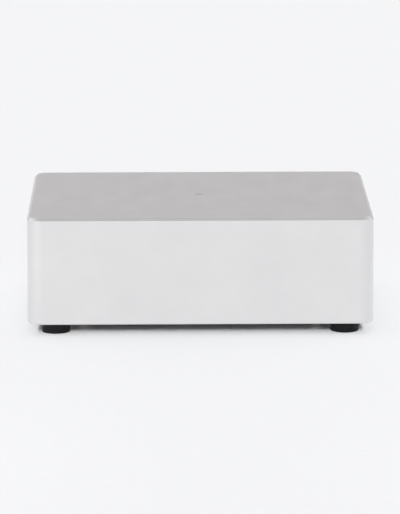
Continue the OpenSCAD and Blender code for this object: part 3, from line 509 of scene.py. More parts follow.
def soften(piece, width):
    """Gives a piece narrow round edges and flat faces, and says how many faces it has."""
    piece.data.shade_smooth()
    edge = piece.modifiers.new("soft_edges", "BEVEL")
    edge.width, edge.segments = width * MM, SOFT_STEPS
    edge.limit_method, edge.angle_limit = "ANGLE", SOFT_ANGLE
    flat = piece.modifiers.new("flat_faces", "WEIGHTED_NORMAL")
    flat.mode, flat.keep_sharp = "FACE_AREA", True
    print(piece.name, "has", len(piece.data.polygons), "faces")


# %% [markdown]
# ## Holes in the housing
# The top has one hole for the light guide. The posts have threads for the foot screws and the panel
# screws, and the ceiling has two for the heat block. Real threads could be spun as a spiral, but they
# are never seen, so they are plain bores. All bores are one bmesh, so they are cut in one go, before
# the bevel that softens every edge.

# %% Holes in the housing
GUIDE_HOLE_R, THREAD_R, SMALL_THREAD_R, SMALL_HEAD_R, BORE_STEPS = 1.3, 1.3, 1.05, 1.9, 24
FOOT_THREAD_L, PANEL_THREAD_L, HEAT_THREAD_L = 6.5, 5.5, 2.05
PANEL_SCREW_Z = (15.0, 31.0)
holes = rod(GUIDE_HOLE_R, CEILING - PAST, case_high.z + PAST, (0, 0, 0), Z)
for x in (-POST_X, POST_X):
    for y in (-POST_Y, POST_Y):
        rod(THREAD_R, BASE_TOP - PAST, BASE_TOP + FOOT_THREAD_L, (x, y, 0), Z, BORE_STEPS, holes)
    for z in PANEL_SCREW_Z:
        rod(THREAD_R, POST_BACK - PANEL_THREAD_L, POST_BACK + PAST, (x, 0, z), Y, BORE_STEPS, holes)
heat_low, heat_high = span("heat_block_screws")
heat_x = (heat_low.x + heat_high.x) / 2
for y in (heat_low.y + SMALL_HEAD_R, heat_high.y - SMALL_HEAD_R):
    rod(SMALL_THREAD_R, CEILING - PAST, CEILING + HEAT_THREAD_L, (heat_x, y, 0), Z, BORE_STEPS, holes)
soften(combine(housing, holes), width=0.1)

# %% [markdown]
# ## Base plate
# A flat aluminium plate with the same blasted finish drops into the rebate under the walls. It has
# holes for the foot screws, for the ends of the standoffs and for a pin that reaches the reset
# button. A plate could be drawn as an outline and extruded. A block with cuts is as quick, and one
# narrow bevel then breaks the edge of every hole.

# %% Base plate
SHANK_HOLE_R, RESET_HOLE_R, STANDOFF_HOLE_R = 1.45, 0.9, 2.0
STANDOFF_X, STANDOFF_Y, MIDDLE_STEPS = 39.0, (-36.5, 20.0), 32
plate_low, plate_high = span("base_plate")
plate = block(plate_low, plate_high)
base_plate = make_piece(
    "base_plate_blasted", bevel(plate, edges_along(plate, Z), CORNER_R - WALL, POCKET_STEPS),
    "bead_blasted_aluminium", "case", "base_plate")
under, above = plate_low.z - PAST, plate_high.z + PAST
reset_low, reset_high = span("reset_plunger")
reset_at = ((reset_low.x + reset_high.x) / 2, (reset_low.y + reset_high.y) / 2, 0)
holes = rod(RESET_HOLE_R, under, above, reset_at, Z)
for side in (-1, 1):
    for y in (-POST_Y, POST_Y):
        rod(SHANK_HOLE_R, under, above, (side * POST_X, y, 0), Z, BORE_STEPS, holes)
    for y in STANDOFF_Y:
        rod(STANDOFF_HOLE_R, under, above, (side * STANDOFF_X, y, 0), Z, MIDDLE_STEPS, holes)
soften(combine(base_plate, holes), width=0.12)

# %% [markdown]
# ## Rear panel
# The rear panel is a blasted plate that stands behind the window's bezel, with a cut-out for each
# socket. The cut-outs could be drawn to measure. Here each one is the socket's own box from the frame
# and an even gap round it, so it can't miss its socket.

# %% Rear panel
CUTOUT_GAP = 0.25
panel_low, panel_high = span("rear_panel")
panel = make_piece(
    "rear_panel_blasted", block(panel_low, panel_high), "bead_blasted_aluminium", "case", "rear_panel")
before, behind = panel_low.y - PAST, panel_high.y + PAST
for node in ("usb_left_shell", "usb_right_shell", "network_jack_shell", "optical_body"):
    low, high = span(node)
    combine(panel, block(
        (low.x - CUTOUT_GAP, before, low.z - CUTOUT_GAP), (high.x + CUTOUT_GAP, behind, high.z + CUTOUT_GAP)))
print("panel:", [round(c, 1) for c in panel_high - panel_low], "mm with 4 square cut-outs")

# %% [markdown]
# ## Round holes in the rear panel
# The power jack's nose and the button come through round holes, and four countersinks take the panel
# screws. A countersink could be a bore and a cone. As a turned profile it is one shape: narrow where
# the screw's shank passes, and then opening to the width of its head.

# %% Round holes in the rear panel
DC_NOSE_R, BUTTON_R, BUTTON_GAP, ROUND_STEPS = 4.0, 3.4, 0.25, 64
HEAD_R, HEAD_GAP, SINK_H = 2.25, 0.05, 1.2
dc_low, dc_high = span("power_jack_body")
button_low, button_high = span("power_button")
dc_x, button_x = (dc_low.x + dc_high.x) / 2, (button_low.x + button_high.x) / 2
axis_z = (button_low.z + button_high.z) / 2
face = panel_high.y
sink = [
    (0, before), (SHANK_HOLE_R, before), (SHANK_HOLE_R, face - SINK_H), (HEAD_R + HEAD_GAP, face),
    (HEAD_R + HEAD_GAP, behind), (0, behind)]
holes = rod(DC_NOSE_R + CUTOUT_GAP, before, behind, (dc_x, 0, axis_z), Y, ROUND_STEPS)
rod(BUTTON_R + BUTTON_GAP, before, behind, (button_x, 0, axis_z), Y, ROUND_STEPS, holes)
for x in (-POST_X, POST_X):
    for z in PANEL_SCREW_Z:
        turned(sink, (x, 0, z), Y, MIDDLE_STEPS, holes)
soften(combine(panel, holes), width=0.12)

# %% [markdown]
# ## Rubber feet
# Each foot is a moulded rubber puck that tapers a little towards the floor, with a round lower edge
# and a well for its screw. It could be a cylinder with bevels. It is the same all the way round, so
# turning its profile gives the taper, the well and the round edge in one step. The round edge is a
# few points on an arc, so it needs no bevel, and smooth shading that stops at sharp edges is enough.

# %% Rubber feet
FOOT_R, FOOT_LOW_R, FOOT_EDGE, FOOT_H = 4.85, 4.7, 0.5, 4.0
WELL_R, WELL_H, FOOT_BREAK, ARC_STEPS = 2.45, 2.0, 0.2, 6
SHARP_ANGLE = math.radians(40)


def polish(piece):
    """Shades a piece smooth up to its sharp edges."""
    piece.data.shade_smooth()
    piece.data.set_sharp_from_angle(angle=SHARP_ANGLE)


arc = [(FOOT_LOW_R - FOOT_EDGE * (1 - math.sin(a)), FOOT_EDGE * (1 - math.cos(a)))
       for a in (math.radians(90 * i / ARC_STEPS) for i in range(ARC_STEPS + 1))]
foot_profile = [
    (SHANK_HOLE_R, FOOT_H), (SHANK_HOLE_R, WELL_H), (WELL_R, WELL_H), (WELL_R, FOOT_BREAK),
    (WELL_R + FOOT_BREAK, 0), *arc, (FOOT_R, FOOT_H - FOOT_BREAK), (FOOT_R - FOOT_BREAK, FOOT_H),
    (SHANK_HOLE_R, FOOT_H)]
for side, x in (("left", -POST_X), ("right", POST_X)):
    for end, y in (("front", -POST_Y), ("rear", POST_Y)):
        polish(make_piece(
            f"rubber_foot_{end}_{side}", turned(foot_profile, (x, y, 0), Z, ROUND_STEPS), "black_rubber",
            "case", f"foot_{end}_{side}"))
print("feet: 4 at", POST_X, POST_Y, "mm")

# %% [markdown]
# ## Foot screws
# One screw passes up through each foot and the base plate into a post. It has a flat cheese head with
# a hexagon drive. It could stay a plain rod, but its head shows in the well of the foot. So it is
# turned from its profile, as on a lathe, and the drive is a rod with six steps, cut into its head.

# %% Foot screws
SCREW_R, SCREW_TIP, TIP_CHAMFER, SCREW_STEPS = 1.25, 12.0, 0.4, 40
HEAD_T, HEAD_CHAMFER, SEAT_CHAMFER = 1.5, 0.2, 0.1
DRIVE_R, DRIVE_H, DRIVE_SIDES = 0.9, 0.8, 6
head_low = WELL_H - HEAD_T
foot_screw = [
    (0, head_low), (HEAD_R - HEAD_CHAMFER, head_low), (HEAD_R, head_low + HEAD_CHAMFER),
    (HEAD_R, WELL_H - SEAT_CHAMFER), (HEAD_R - SEAT_CHAMFER, WELL_H), (SCREW_R, WELL_H),
    (SCREW_R, SCREW_TIP - TIP_CHAMFER), (SCREW_R - TIP_CHAMFER, SCREW_TIP), (0, SCREW_TIP)]
drives = bmesh.new()
screws = bmesh.new()
for x in (-POST_X, POST_X):
    for y in (-POST_Y, POST_Y):
        turned(foot_screw, (x, y, 0), Z, SCREW_STEPS, screws)
        rod(DRIVE_R, 0, head_low + DRIVE_H, (x, y, 0), Z, DRIVE_SIDES, drives)
foot_screws = make_piece("foot_screws_turned", screws, "stainless_steel", "case", "foot_screws")
soften(combine(foot_screws, drives), width=0.06)

# %% [markdown]
# ## Panel screws
# Four countersunk screws hold the rear panel, with their heads flush in its face. A cone on a
# cylinder would do. Turned in one profile with a fine chamfer round the rim, the head catches a thin
# bright ring, as a real one does. All four are one piece, because they are one node in the assembly.

# %% Panel screws
PANEL_SCREW_L, RIM_CHAMFER = 7.2, 0.08
panel_tip = face - PANEL_SCREW_L
panel_screw = [
    (0, panel_tip), (SCREW_R - TIP_CHAMFER, panel_tip), (SCREW_R, panel_tip + TIP_CHAMFER),
    (SCREW_R, face - SINK_H), (HEAD_R, face - RIM_CHAMFER), (HEAD_R - RIM_CHAMFER, face), (0, face)]
drives = bmesh.new()
screws = bmesh.new()
for x in (-POST_X, POST_X):
    for z in PANEL_SCREW_Z:
        turned(panel_screw, (x, 0, z), Y, SCREW_STEPS, screws)
        rod(DRIVE_R, face - DRIVE_H, behind, (x, 0, z), Y, DRIVE_SIDES, drives)
panel_screws = make_piece("rear_panel_screws_turned", screws, "stainless_steel", "case", "rear_panel_screws")
soften(combine(panel_screws, drives), width=0.04)

# %% [markdown]
# ## Status light
# The spot in the middle of the top is the end of a clear rod that carries light up from the board.
# Its end is frosted and very slightly domed, just below the face of the top, so it catches a thin
# line of shade round its rim. A painted dot would look the same from the front only. The turned rod
# keeps its rim and its shoulder under the ceiling from every side.

# %% Status light
GUIDE_R, SHOULDER_R, SHOULDER_T = 1.25, 2.5, 1.0
# the dome's radius, and how far it lies below the crown there
DOME = ((GUIDE_R, 0.15), (GUIDE_R - 0.05, 0.08), (GUIDE_R * 0.6, 0.02), (0, 0))
guide_low, guide_high = span("status_light_guide")
guide = turned(
    [(0, guide_low.z), (GUIDE_R, guide_low.z), (GUIDE_R, CEILING - SHOULDER_T),
     (SHOULDER_R, CEILING - SHOULDER_T), (SHOULDER_R, CEILING), (GUIDE_R, CEILING),
     *((r, guide_high.z - drop) for r, drop in DOME)], (0, 0, 0), Z)
polish(make_piece("light_guide_frosted", guide, "frosted_acrylic", "case", "status_light_guide"))
print("light guide:", round(guide_high.z - guide_low.z, 1), "mm long")

# %% [markdown]
# ## Power button
# The button is turned from aluminium: a round cap with a chamfer and a shallow dish for the
# fingertip, and a collar behind the panel. The cap and the collar could be two rods joined, but one
# profile turns them together, with the socket for the switch. The piece rides on its own body, so it
# can be pressed in.

# %% Power button
COLLAR_R, COLLAR_T, BOSS_R, BOSS_L, SOCKET_R, SOCKET_L = 4.2, 1.0, 2.2, 1.3, 1.25, 2.0
CAP_CHAMFER, CAP_RIM = 0.3, 0.3
# the dish's radius, and how deep it is there
DISH = ((1.4, 0.18), (0, 0.22))
tip, back = button_high.y, button_low.y
collar = back + BOSS_L
button_profile = [
    (0, back + SOCKET_L), (SOCKET_R, back + SOCKET_L), (SOCKET_R, back), (BOSS_R, back), (BOSS_R, collar),
    (COLLAR_R, collar), (COLLAR_R, collar + COLLAR_T), (BUTTON_R, collar + COLLAR_T),
    (BUTTON_R, tip - CAP_CHAMFER), (BUTTON_R - CAP_CHAMFER, tip), (BUTTON_R - CAP_CHAMFER - CAP_RIM, tip),
    *((r, tip - drop) for r, drop in DISH)]
button = make_piece(
    "power_button_turned", turned(button_profile, (button_x, 0, axis_z), Y, ROUND_STEPS),
    "bead_blasted_aluminium", "button", "power_button")
soften(button, width=0.06)

# %% [markdown]
# ## Can of the network jack
# A can of bright steel sheet wraps the network jack, open towards the plug. It could be folded from a
# sheet. A block with rounded edges, less a block that is one wall smaller, gives the same can in two
# steps, with the bends of the folded sheet as its corners.

# %% Can of the network jack
LAN_WALL, CAN_CORNER_R, CAN_STEPS = 0.5, 0.4, 4
can_low, can_high = span("network_jack_shell")
inset = Vector((LAN_WALL, LAN_WALL, LAN_WALL))
can = block(can_low, can_high)
can = make_piece(
    "network_jack_can", bevel(can, edges_along(can, Y), CAN_CORNER_R, CAN_STEPS), "nickel_plate", "case",
    "network_jack_shell")
combine(can, block(can_low + inset, can_high - inset + Vector((0, LAN_WALL + PAST, 0))))
soften(can, width=0.12)

# %% [markdown]
# ## Insert of the network jack
# The black nylon insert has the stepped opening that a network plug and its latch go into, and two
# notches for the link lights. The opening could be one outline pushed inwards. Three plain cuts are
# easier to read: the opening, the narrower step for the latch below it, and a notch for each light.

# %% Insert of the network jack
LAN_OPEN_W, LAN_OPEN_H, LAN_OPEN_L, LAN_FLOOR = 11.9, 7.0, 13.0, 3.4
LATCH_W, LATCH_H, LIGHT_W, LIGHT_H, LIGHT_X = 6.4, 1.6, 2.6, 1.5, 5.7
lan_x = (can_low.x + can_high.x) / 2
low, high = span("network_jack_insert")
insert = make_piece("network_jack_moulding", block(low, high), "black_nylon", "case", "network_jack_insert")
floor_z, back_y, out_y = can_low.z + LAN_FLOOR, can_high.y - LAN_OPEN_L, high.y + PAST
combine(insert, block(
    (lan_x - LAN_OPEN_W / 2, back_y, floor_z), (lan_x + LAN_OPEN_W / 2, out_y, floor_z + LAN_OPEN_H)))
combine(insert, block(
    (lan_x - LATCH_W / 2, back_y, floor_z - LATCH_H), (lan_x + LATCH_W / 2, out_y, floor_z + PAST)))
light_z = can_high.z - 2 * LAN_WALL - LIGHT_H
for x in (lan_x - LIGHT_X, lan_x + LIGHT_X):
    combine(insert, block(
        (x - LIGHT_W / 2, can_high.y - LIGHT_W, light_z), (x + LIGHT_W / 2, out_y, light_z + LIGHT_H)))
soften(insert, width=0.1)

# %% [markdown]
# ## Contacts of the network jack
# Eight thin wires slope down from the roof of the opening, where the plug's contacts press on them.
# They could be curves with a round section, but stamped contacts are flat. So each is a strip: a bent
# line of points that is extruded sideways and then given its thickness.


# %% Contacts of the network jack
def strip(points, x, width, thickness, bm):
    """Adds a bent metal strip that follows (y, z) points, centred on x."""
    piece = bmesh.new()
    verts = [piece.verts.new(Vector((x - width / 2, y, z)) * MM) for y, z in points]
    edges = [piece.edges.new(pair) for pair in zip(verts, verts[1:])]
    side = bmesh.ops.extrude_edge_only(piece, edges=edges)["geom"]
    bmesh.ops.translate(
        piece, verts=[v for v in side if isinstance(v, bmesh.types.BMVert)], vec=(width * MM, 0, 0))
    bmesh.ops.recalc_face_normals(piece, faces=piece.faces)
    bmesh.ops.solidify(piece, geom=piece.faces[:], thickness=thickness * MM)
    mesh = bpy.data.meshes.new("strip")
    piece.to_mesh(mesh)
    piece.free()
    bm.from_mesh(mesh)
    bpy.data.meshes.remove(mesh)


WIRES, WIRE_PITCH, WIRE_W, WIRE_T = 8, 1.02, 0.42, 0.3
# how far a bend lies from the back of the opening, and how far below its roof
WIRE_BENDS = ((0, 3.1), (1.5, 3.1), (2.5, 2.9), (9.2, 0.6), (10.0, 0))
roof_z = floor_z + LAN_OPEN_H
wire = [(back_y + out, roof_z - drop) for out, drop in WIRE_BENDS]
contacts = bmesh.new()
for i in range(WIRES):
    strip(wire, lan_x + (i - (WIRES - 1) / 2) * WIRE_PITCH, WIRE_W, WIRE_T, contacts)
contacts = make_piece("network_jack_wires", contacts, "gold_plate", "case", "network_jack_contacts")
soften(contacts, width=0.05)

# %% [markdown]
# ## Shells of the data sockets
# Two stacks of two sockets stand side by side. Each has a folded steel shell with springs pressed in
# to grip a plug. The springs could be cut from the shell's wall, but they are thin and bend inwards,
# so they are strips that are added to it. Both stacks are alike, so one function makes a shell.

# %% Shells of the data sockets
STACK_WALL, STACK_CORNER_R, OPEN_W, OPEN_H, OPEN_L, WEB = 0.4, 0.5, 12.6, 5.2, 11.5, 2.6
GRIP_X, GRIP_W, GRIP_T = 3.3, 2.0, 0.12
# how far a bend of a spring lies behind the mouth, and how far above the sill
GRIP_BENDS = ((1.2, 0.08), (2.4, 0.1), (4.6, 0.62), (6.0, 0.5), (7.0, 0.12))


def stack_places(side):
    """The lowest and highest corner of a stack, its middle across, and the heights of its two sockets."""
    low, high = span(f"usb_{side}_shell")
    middle, half_step = (low.z + high.z) / 2, (OPEN_H + WEB) / 2
    return low, high, (low.x + high.x) / 2, (middle - half_step, middle + half_step)


def stack_shell(side):
    """Makes the shell of one stack, with two grip springs in each socket."""
    low, high, x, rows = stack_places(side)
    inset = Vector((STACK_WALL, STACK_WALL, STACK_WALL))
    shell = block(low, high)
    shell = make_piece(
        f"data_sockets_{side}_shell", bevel(shell, edges_along(shell, Y), STACK_CORNER_R, CAN_STEPS),
        "nickel_plate", "case", f"usb_{side}_shell")
    combine(shell, block(low + inset, high - inset + Vector((0, STACK_WALL + PAST, 0))))
    springs = bmesh.new()
    springs.from_mesh(shell.data)
    for z in rows:
        bends = [(high.y - inwards, z - OPEN_H / 2 + rise) for inwards, rise in GRIP_BENDS]
        for grip_x in (x - GRIP_X, x + GRIP_X):
            strip(bends, grip_x, GRIP_W, GRIP_T, springs)
    springs.to_mesh(shell.data)
    springs.free()
    # a bevel of more than half a spring's thickness would fold its edges
    soften(shell, width=0.05)


# %% [markdown]
# ## Mouldings of the data sockets
# Inside each shell sits a black moulding with two openings, and in each opening a tongue carries the
# contacts. The opening could be cut round the tongue in four pieces. It is simpler to cut it whole
# and join the tongue again, with its front edge rounded as a plug needs it.

# %% Mouldings of the data sockets
TONGUE_W, TONGUE_T, TONGUE_ROOT, TONGUE_BACK, TONGUE_EDGE = 11.2, 1.9, 0.5, 0.6, 0.4


def stack_moulding(side):
    """Makes the moulding of one stack, with a tongue in each opening."""
    _, mouth, x, rows = stack_places(side)
    back = mouth.y - OPEN_L
    low, high = span(f"usb_{side}_insert")
    front = high.y - TONGUE_BACK
    moulding = make_piece(
        f"data_sockets_{side}_moulding", block(low, high), "black_nylon", "case", f"usb_{side}_insert")
    for z in rows:
        combine(moulding, block(
            (x - OPEN_W / 2, back, z - OPEN_H / 2), (x + OPEN_W / 2, high.y + PAST, z + OPEN_H / 2)))
        tongue = block((x - TONGUE_W / 2, back - TONGUE_ROOT, z), (x + TONGUE_W / 2, front, z + TONGUE_T))
        bevel(tongue, edges_at(tongue, Y, front), TONGUE_EDGE, segments=2)
        combine(moulding, tongue, "UNION")
    soften(moulding, width=0.1)


for side in ("left", "right"):
    stack_shell(side)
    stack_moulding(side)

# %% [markdown]
# ## Power jack
# The power jack shows a round black nose with a hole and a bright pin in it. It is one moulding: a
# block behind the panel and the nose in front of it. They could stay two pieces that touch, but then a
# seam would show, so they are joined, and the stepped hole is one turned shape that is cut out.

# %% Power jack
DC_BODY_H, DC_HOLE_R, DC_HOLE_L, PIN_SEAT_R, PIN_SEAT_L = 11.0, 3.15, 9.5, 1.02, 1.5
NOSE_CHAMFER, MOUTH_CHAMFER = 0.35, 0.3
nose, hole_back = dc_high.y, dc_high.y - DC_HOLE_L
body = block(dc_low, (dc_high.x, POST_BACK, dc_low.z + DC_BODY_H))
body = make_piece("power_jack_moulding", body, "black_nylon", "case", "power_jack_body")
combine(body, turned(
    [(0, POST_BACK - PAST), (DC_NOSE_R, POST_BACK - PAST), (DC_NOSE_R, nose - NOSE_CHAMFER),
     (DC_NOSE_R - NOSE_CHAMFER, nose), (0, nose)], (dc_x, 0, axis_z), Y, ROUND_STEPS), "UNION")
combine(body, turned(
    [(0, hole_back - PIN_SEAT_L), (PIN_SEAT_R, hole_back - PIN_SEAT_L), (PIN_SEAT_R, hole_back),
     (DC_HOLE_R, hole_back), (DC_HOLE_R, nose - MOUTH_CHAMFER), (DC_HOLE_R + MOUTH_CHAMFER, nose),
     (DC_HOLE_R + MOUTH_CHAMFER, nose + PAST), (0, nose + PAST)], (dc_x, 0, axis_z), Y, ROUND_STEPS))
soften(body, width=0.08)

# %% [markdown]
# ## Optical socket
# The optical socket is a black moulding with a square mouth. Behind the mouth is a chamber, higher
# than the mouth, in which the shutter swings, and the red lens sits in its back wall. Four walls could
# be put together, but a block with a cut for each hollow keeps it one closed piece.

# %% Optical socket
CHAMBER_W, CHAMBER_L, LIP_T, MOUTH_W = 8.2, 11.4, 0.6, 7.5
CHAMBER_FLOOR, CHAMBER_ROOF, MOUTH_SILL = 0.9, 11.5, 1.5
PIN_HOLE_R, LENS_HOLE_R = 0.52, 1.62
opt_low, opt_high = span("optical_body")
opt_x = (opt_low.x + opt_high.x) / 2
socket = make_piece("optical_moulding", block(opt_low, opt_high), "black_nylon", "case", "optical_body")
combine(socket, block(
    (opt_x - CHAMBER_W / 2, opt_high.y - CHAMBER_L, opt_low.z + CHAMBER_FLOOR),
    (opt_x + CHAMBER_W / 2, opt_high.y - LIP_T, opt_low.z + CHAMBER_ROOF)))
sill = opt_low.z + MOUTH_SILL
combine(socket, block(
    (opt_x - MOUTH_W / 2, opt_high.y - LIP_T - PAST, sill),
    (opt_x + MOUTH_W / 2, opt_high.y + PAST, sill + MOUTH_W)))
pin_low, pin_high = span("optical_shutter_pin")
hinge = (pin_low + pin_high) / 2
combine(socket, rod(PIN_HOLE_R, pin_low.x - opt_x, pin_high.x - opt_x, hinge, X, BORE_STEPS))
lens_low, lens_high = span("optical_emitter")
lens_at = (opt_x, 0, (lens_low.z + lens_high.z) / 2)
combine(socket, rod(LENS_HOLE_R, lens_low.y, lens_high.y, lens_at, Y, MIDDLE_STEPS))
soften(socket, width=0.12)

# %% [markdown]
# ## Shutter
# A small leaf closes the mouth and keeps dust off the lens. It hangs on two knuckles round the hinge
# pin, with a bay between them for the spring. A flat plate would look dead, so its face is inset and
# pushed in a little: that leaves a sloping rim that catches the light. The leaf's edges are bevelled
# before the knuckles are joined, because a bevel modifier would then meet edges that are too short
# for it. The leaf rides on its own body and swings inwards when a plug pushes it.

# %% Shutter
SHUTTER_T, KNUCKLE_R, SPRING_BAY, BORE_R = 0.8, 0.85, 2.4, 0.55
RIM_W, RIM_H, LEAF_EDGE = 1.1, 0.2, 0.05
leaf_low, leaf_high = span("optical_shutter")
leaf_face, half = leaf_high.y, (leaf_high.x - leaf_low.x) / 2
leaf = block((leaf_low.x, leaf_face - SHUTTER_T, leaf_low.z), (leaf_high.x, leaf_face, hinge.z))
top_edges = edges_at(leaf, Z, hinge.z)
bevel(leaf, [e for e in leaf.edges if e not in top_edges], LEAF_EDGE, segments=2)
leaf.normal_update()
outside = [f for f in leaf.faces if f.normal.y > SAME_WAY]
bmesh.ops.inset_region(leaf, faces=outside, thickness=RIM_W * MM)
bmesh.ops.translate(leaf, verts=[v for f in outside for v in f.verts], vec=(0, -RIM_H * MM, 0))
shutter = make_piece("optical_shutter_leaf", leaf, "black_nylon", "shutter", "optical_shutter")
for start, end in ((-half, -SPRING_BAY / 2), (SPRING_BAY / 2, half)):
    combine(shutter, rod(KNUCKLE_R, start, end, hinge, X, MIDDLE_STEPS), "UNION")
combine(shutter, rod(BORE_R, -half - PAST, half + PAST, hinge, X, BORE_STEPS))
combine(shutter, block(
    (hinge.x - SPRING_BAY / 2, leaf_face - SHUTTER_T - PAST, hinge.z - PAST),
    (hinge.x + SPRING_BAY / 2, leaf_face + PAST, hinge.z + PAST)))
polish(shutter)
print(shutter.name, "has", len(shutter.data.polygons), "faces")

# %% [markdown]
# ## Shutter spring
# A wound steel wire round the pin pushes the shutter shut. It could be a curve with a bevel. Here the
# wire's round end is a small disc that is spun round the hinge and moves along it as it turns, so the
# coil is one closed mesh.

# %% Shutter spring
COIL_R, COIL_L, WIRE_R, TURNS, STEPS, WIRE_SIDES = 0.68, 1.8, 0.11, 8, 20, 8
coil = bmesh.new()
start = hinge + Vector((-COIL_L / 2, 0, COIL_R))
bmesh.ops.create_circle(
    coil, cap_ends=True, segments=WIRE_SIDES, radius=WIRE_R * MM,
    matrix=Matrix.Translation(start * MM) @ Matrix.Rotation(math.pi / 2, 4, "X"))
bmesh.ops.spin(
    coil, geom=coil.faces[:], cent=hinge * MM, axis=X, dvec=(COIL_L * MM / (TURNS * STEPS), 0, 0),
    angle=math.tau * TURNS, steps=TURNS * STEPS, use_merge=False)
bmesh.ops.recalc_face_normals(coil, faces=coil.faces)
spring = make_piece("shutter_spring_coil", coil, "stainless_steel", "case", "optical_shutter_spring")
spring.data.shade_smooth()
print("spring:", TURNS, "turns,", len(spring.data.polygons), "faces")

# %% [markdown]
# ## Floor
# In the photograph the object stands on an even, near white sweep of matt paper, with a shadow that
# stays close under the case. White paper under a bright sky would do, but the sky would then fill
# that shadow and leave a wide soft shade round the case. So the paper here is a middle grey without
# any shine, and lamps of its own lift it to near white.

# %% Floor
FLOOR_HALF = 8
# matt paper: even, with a faint mottle and no shine
sweep = finish(
    "matt_paper_sweep", "#babbbc", "#bebfc0", 3.0, (0.85, 0.95), 0.0, shader={"Specular IOR Level": 0.0})
bm = bmesh.new()
bmesh.ops.create_grid(bm, x_segments=1, y_segments=1, size=FLOOR_HALF)
mesh = bpy.data.meshes.new("studio_floor")
bm.to_mesh(mesh)
bm.free()
mesh.materials.append(sweep)
floor = bpy.data.objects.new("studio_floor", mesh)
scene.collection.objects.link(floor)
floor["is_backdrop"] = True
print("floor:", 2 * FLOOR_HALF, "m wide")

# %% [markdown]
# ## Key light
# The photograph's light is very soft, and a little brighter from the front left. A large lamp close by
# would grow dimmer across the part. A sun with a wide disc is as soft and stays even. Light linking
# keeps it on the part, so that it doesn't draw a shadow on the floor.


# %% Key light
def soft_sun(name, towards, strength, wide):
    """Adds a sun that shines from a direction and looks so many degrees wide."""
    lamp = bpy.data.lights.new(name, "SUN")
    lamp.energy, lamp.angle = strength, math.radians(wide)
    sun = bpy.data.objects.new(name, lamp)
    sun.rotation_euler = Vector(towards).to_track_quat("Z", "Y").to_euler()
    scene.collection.objects.link(sun)
    return sun


def gather(name, members):
    """Puts objects in a collection that a lamp can be linked to."""
    group = bpy.data.collections.new(name)
    for member in members:
        group.objects.link(member)
    return group


KEY_FROM, KEY_STRENGTH, KEY_WIDE = (-0.65, -0.70, 0.30), 0.46, 80
key = soft_sun("soft_key", KEY_FROM, KEY_STRENGTH, KEY_WIDE)
key.light_linking.receiver_collection = gather("lit_part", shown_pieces())
print("key light:", KEY_STRENGTH, "from the front left")

# %% [markdown]
# ## Floor lamps
# The shadow in the photograph is a dark line under the front edge that fades out within a few
# millimetres. One lamp gives one edge, so a few suns one above the other are used: the lower a sun,
# the further its light reaches under the case. They light the floor alone, and only the base plate
# and the feet stop them, so the shadow stays that close. Broad pools of light in front, to the left
# and right, brighten the paper that the rounded corners mirror. Weaker ones beside the case make up
# for the sky that it hides from the floor.

# %% Floor lamps
# how high each sun stands in degrees above the front, its strength, and how wide it is
FLOOR_SUNS = ((26.0, 3.1, 8), (36.0, 2.06, 10), (60.0, 0.64, 20), (100.0, 0.5, 30))
# where each pool lies in metres, its strength, and the lamp's cone in degrees
FLOOR_POOLS = ((-0.21, -0.23, 2.8, 34), (0.22, -0.23, 2.4, 34), (-0.09, 0.0, 0.8, 20), (0.09, 0.0, 1.5, 20))
POOL_HEIGHT, POOL_SOFT = 0.6, 0.05
lit_floor = gather("lit_floor", [floor])
low_pieces = [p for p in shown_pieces() if p.name.startswith(("base_plate", "rubber_foot"))]
close_shade = gather("close_shade", low_pieces)
floor_lamps = []
for rise, strength, wide in FLOOR_SUNS:
    towards = (0, -math.cos(math.radians(rise)), math.sin(math.radians(rise)))
    floor_lamps.append(soft_sun("floor_light", towards, strength, wide))
for x, y, strength, cone in FLOOR_POOLS:
    pool = bpy.data.lights.new("floor_pool", "SPOT")
    pool.energy, pool.shadow_soft_size = strength, POOL_SOFT
    pool.spot_size, pool.spot_blend = math.radians(cone), 1.0
    pool_lamp = bpy.data.objects.new("floor_pool", pool)
    pool_lamp.location = (x, y, POOL_HEIGHT)
    scene.collection.objects.link(pool_lamp)
    floor_lamps.append(pool_lamp)
for lamp in floor_lamps:
    lamp.light_linking.receiver_collection = lit_floor
    lamp.light_linking.blocker_collection = close_shade
print("floor lamps:", len(floor_lamps))

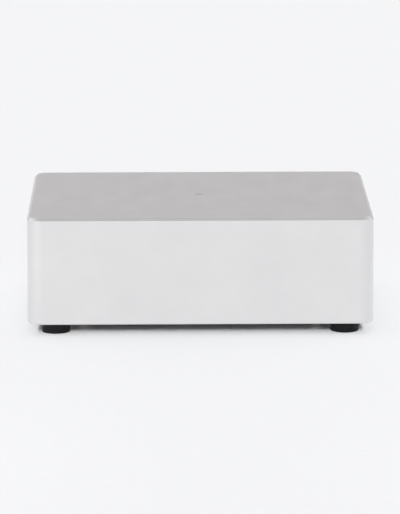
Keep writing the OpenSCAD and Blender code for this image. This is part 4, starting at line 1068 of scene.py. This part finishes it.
# %% [markdown]
# ## Studio sky
# Blasted metal shows what stands round it: the top mirrors the studio behind, which is greyer than
# the floor, and the upright corners mirror its sides. Walls and panels could be built round the
# object, but they would show in other views. So the world does it: pale at the horizon and greyer
# overhead, a little dimmer to the right, dim low at the sides, and with a soft bright panel high on
# each side, stronger towards the back. With x, y and z as the direction, its strength is
# 1 - 0.16 * x + x * x * (9 * z * z * (1 - z) * (1 + y) - 0.6).

# %% Studio sky
SKY = ((0.0, "#fdfdfd"), (0.05, "#f4f2f2"), (0.12, "#dad7d8"), (0.25, "#cfcccd"), (1.0, "#cac8c9"))
SIDE_TILT, PANEL_GAIN, SIDE_DIM = -0.16, 9.0, -0.6
studio = bpy.data.worlds.new("studio")
tree = empty_tree(studio)
place = add(tree, "TexCoord")
way = add(tree, "SeparateXYZ", {"Vector": place.outputs["Generated"]})
x_way, y_way, z_way = way.outputs["X"], way.outputs["Y"], way.outputs["Z"]
sky = add(tree, "ValToRGB", {"Fac": z_way})
stops = sky.color_ramp.elements
for height, code in SKY[1:-1]:
    stops.new(height).color = srgb(code)
stops[0].color, stops[-1].color = srgb(SKY[0][1]), srgb(SKY[-1][1])
sideways = add(tree, "Math", {0: x_way, 1: SIDE_TILT, 2: 1.0}, operation="MULTIPLY_ADD")
square = add(tree, "Math", {0: x_way, 1: x_way}, operation="MULTIPLY")
below = add(tree, "Math", {0: 1.0, 1: z_way}, operation="SUBTRACT")
halfway = add(tree, "Math", {0: z_way, 1: below.outputs[0]}, operation="MULTIPLY")
higher = add(tree, "Math", {0: halfway.outputs[0], 1: z_way}, operation="MULTIPLY")
rearward = add(tree, "Math", {0: y_way, 1: 1.0}, operation="ADD")
panel_light = add(tree, "Math", {0: higher.outputs[0], 1: rearward.outputs[0]}, operation="MULTIPLY")
sides = add(tree, "Math", {0: panel_light.outputs[0], 1: PANEL_GAIN, 2: SIDE_DIM}, operation="MULTIPLY_ADD")
strength = add(tree, "Math", {
    0: square.outputs[0], 1: sides.outputs[0], 2: sideways.outputs[0]}, operation="MULTIPLY_ADD")
light = add(tree, "Background", {"Color": sky.outputs["Color"], "Strength": strength.outputs[0]})
add(tree, "OutputWorld", {"Surface": light.outputs["Background"]})
scene.world = studio
print("sky:", len(stops), "tones from the horizon up")
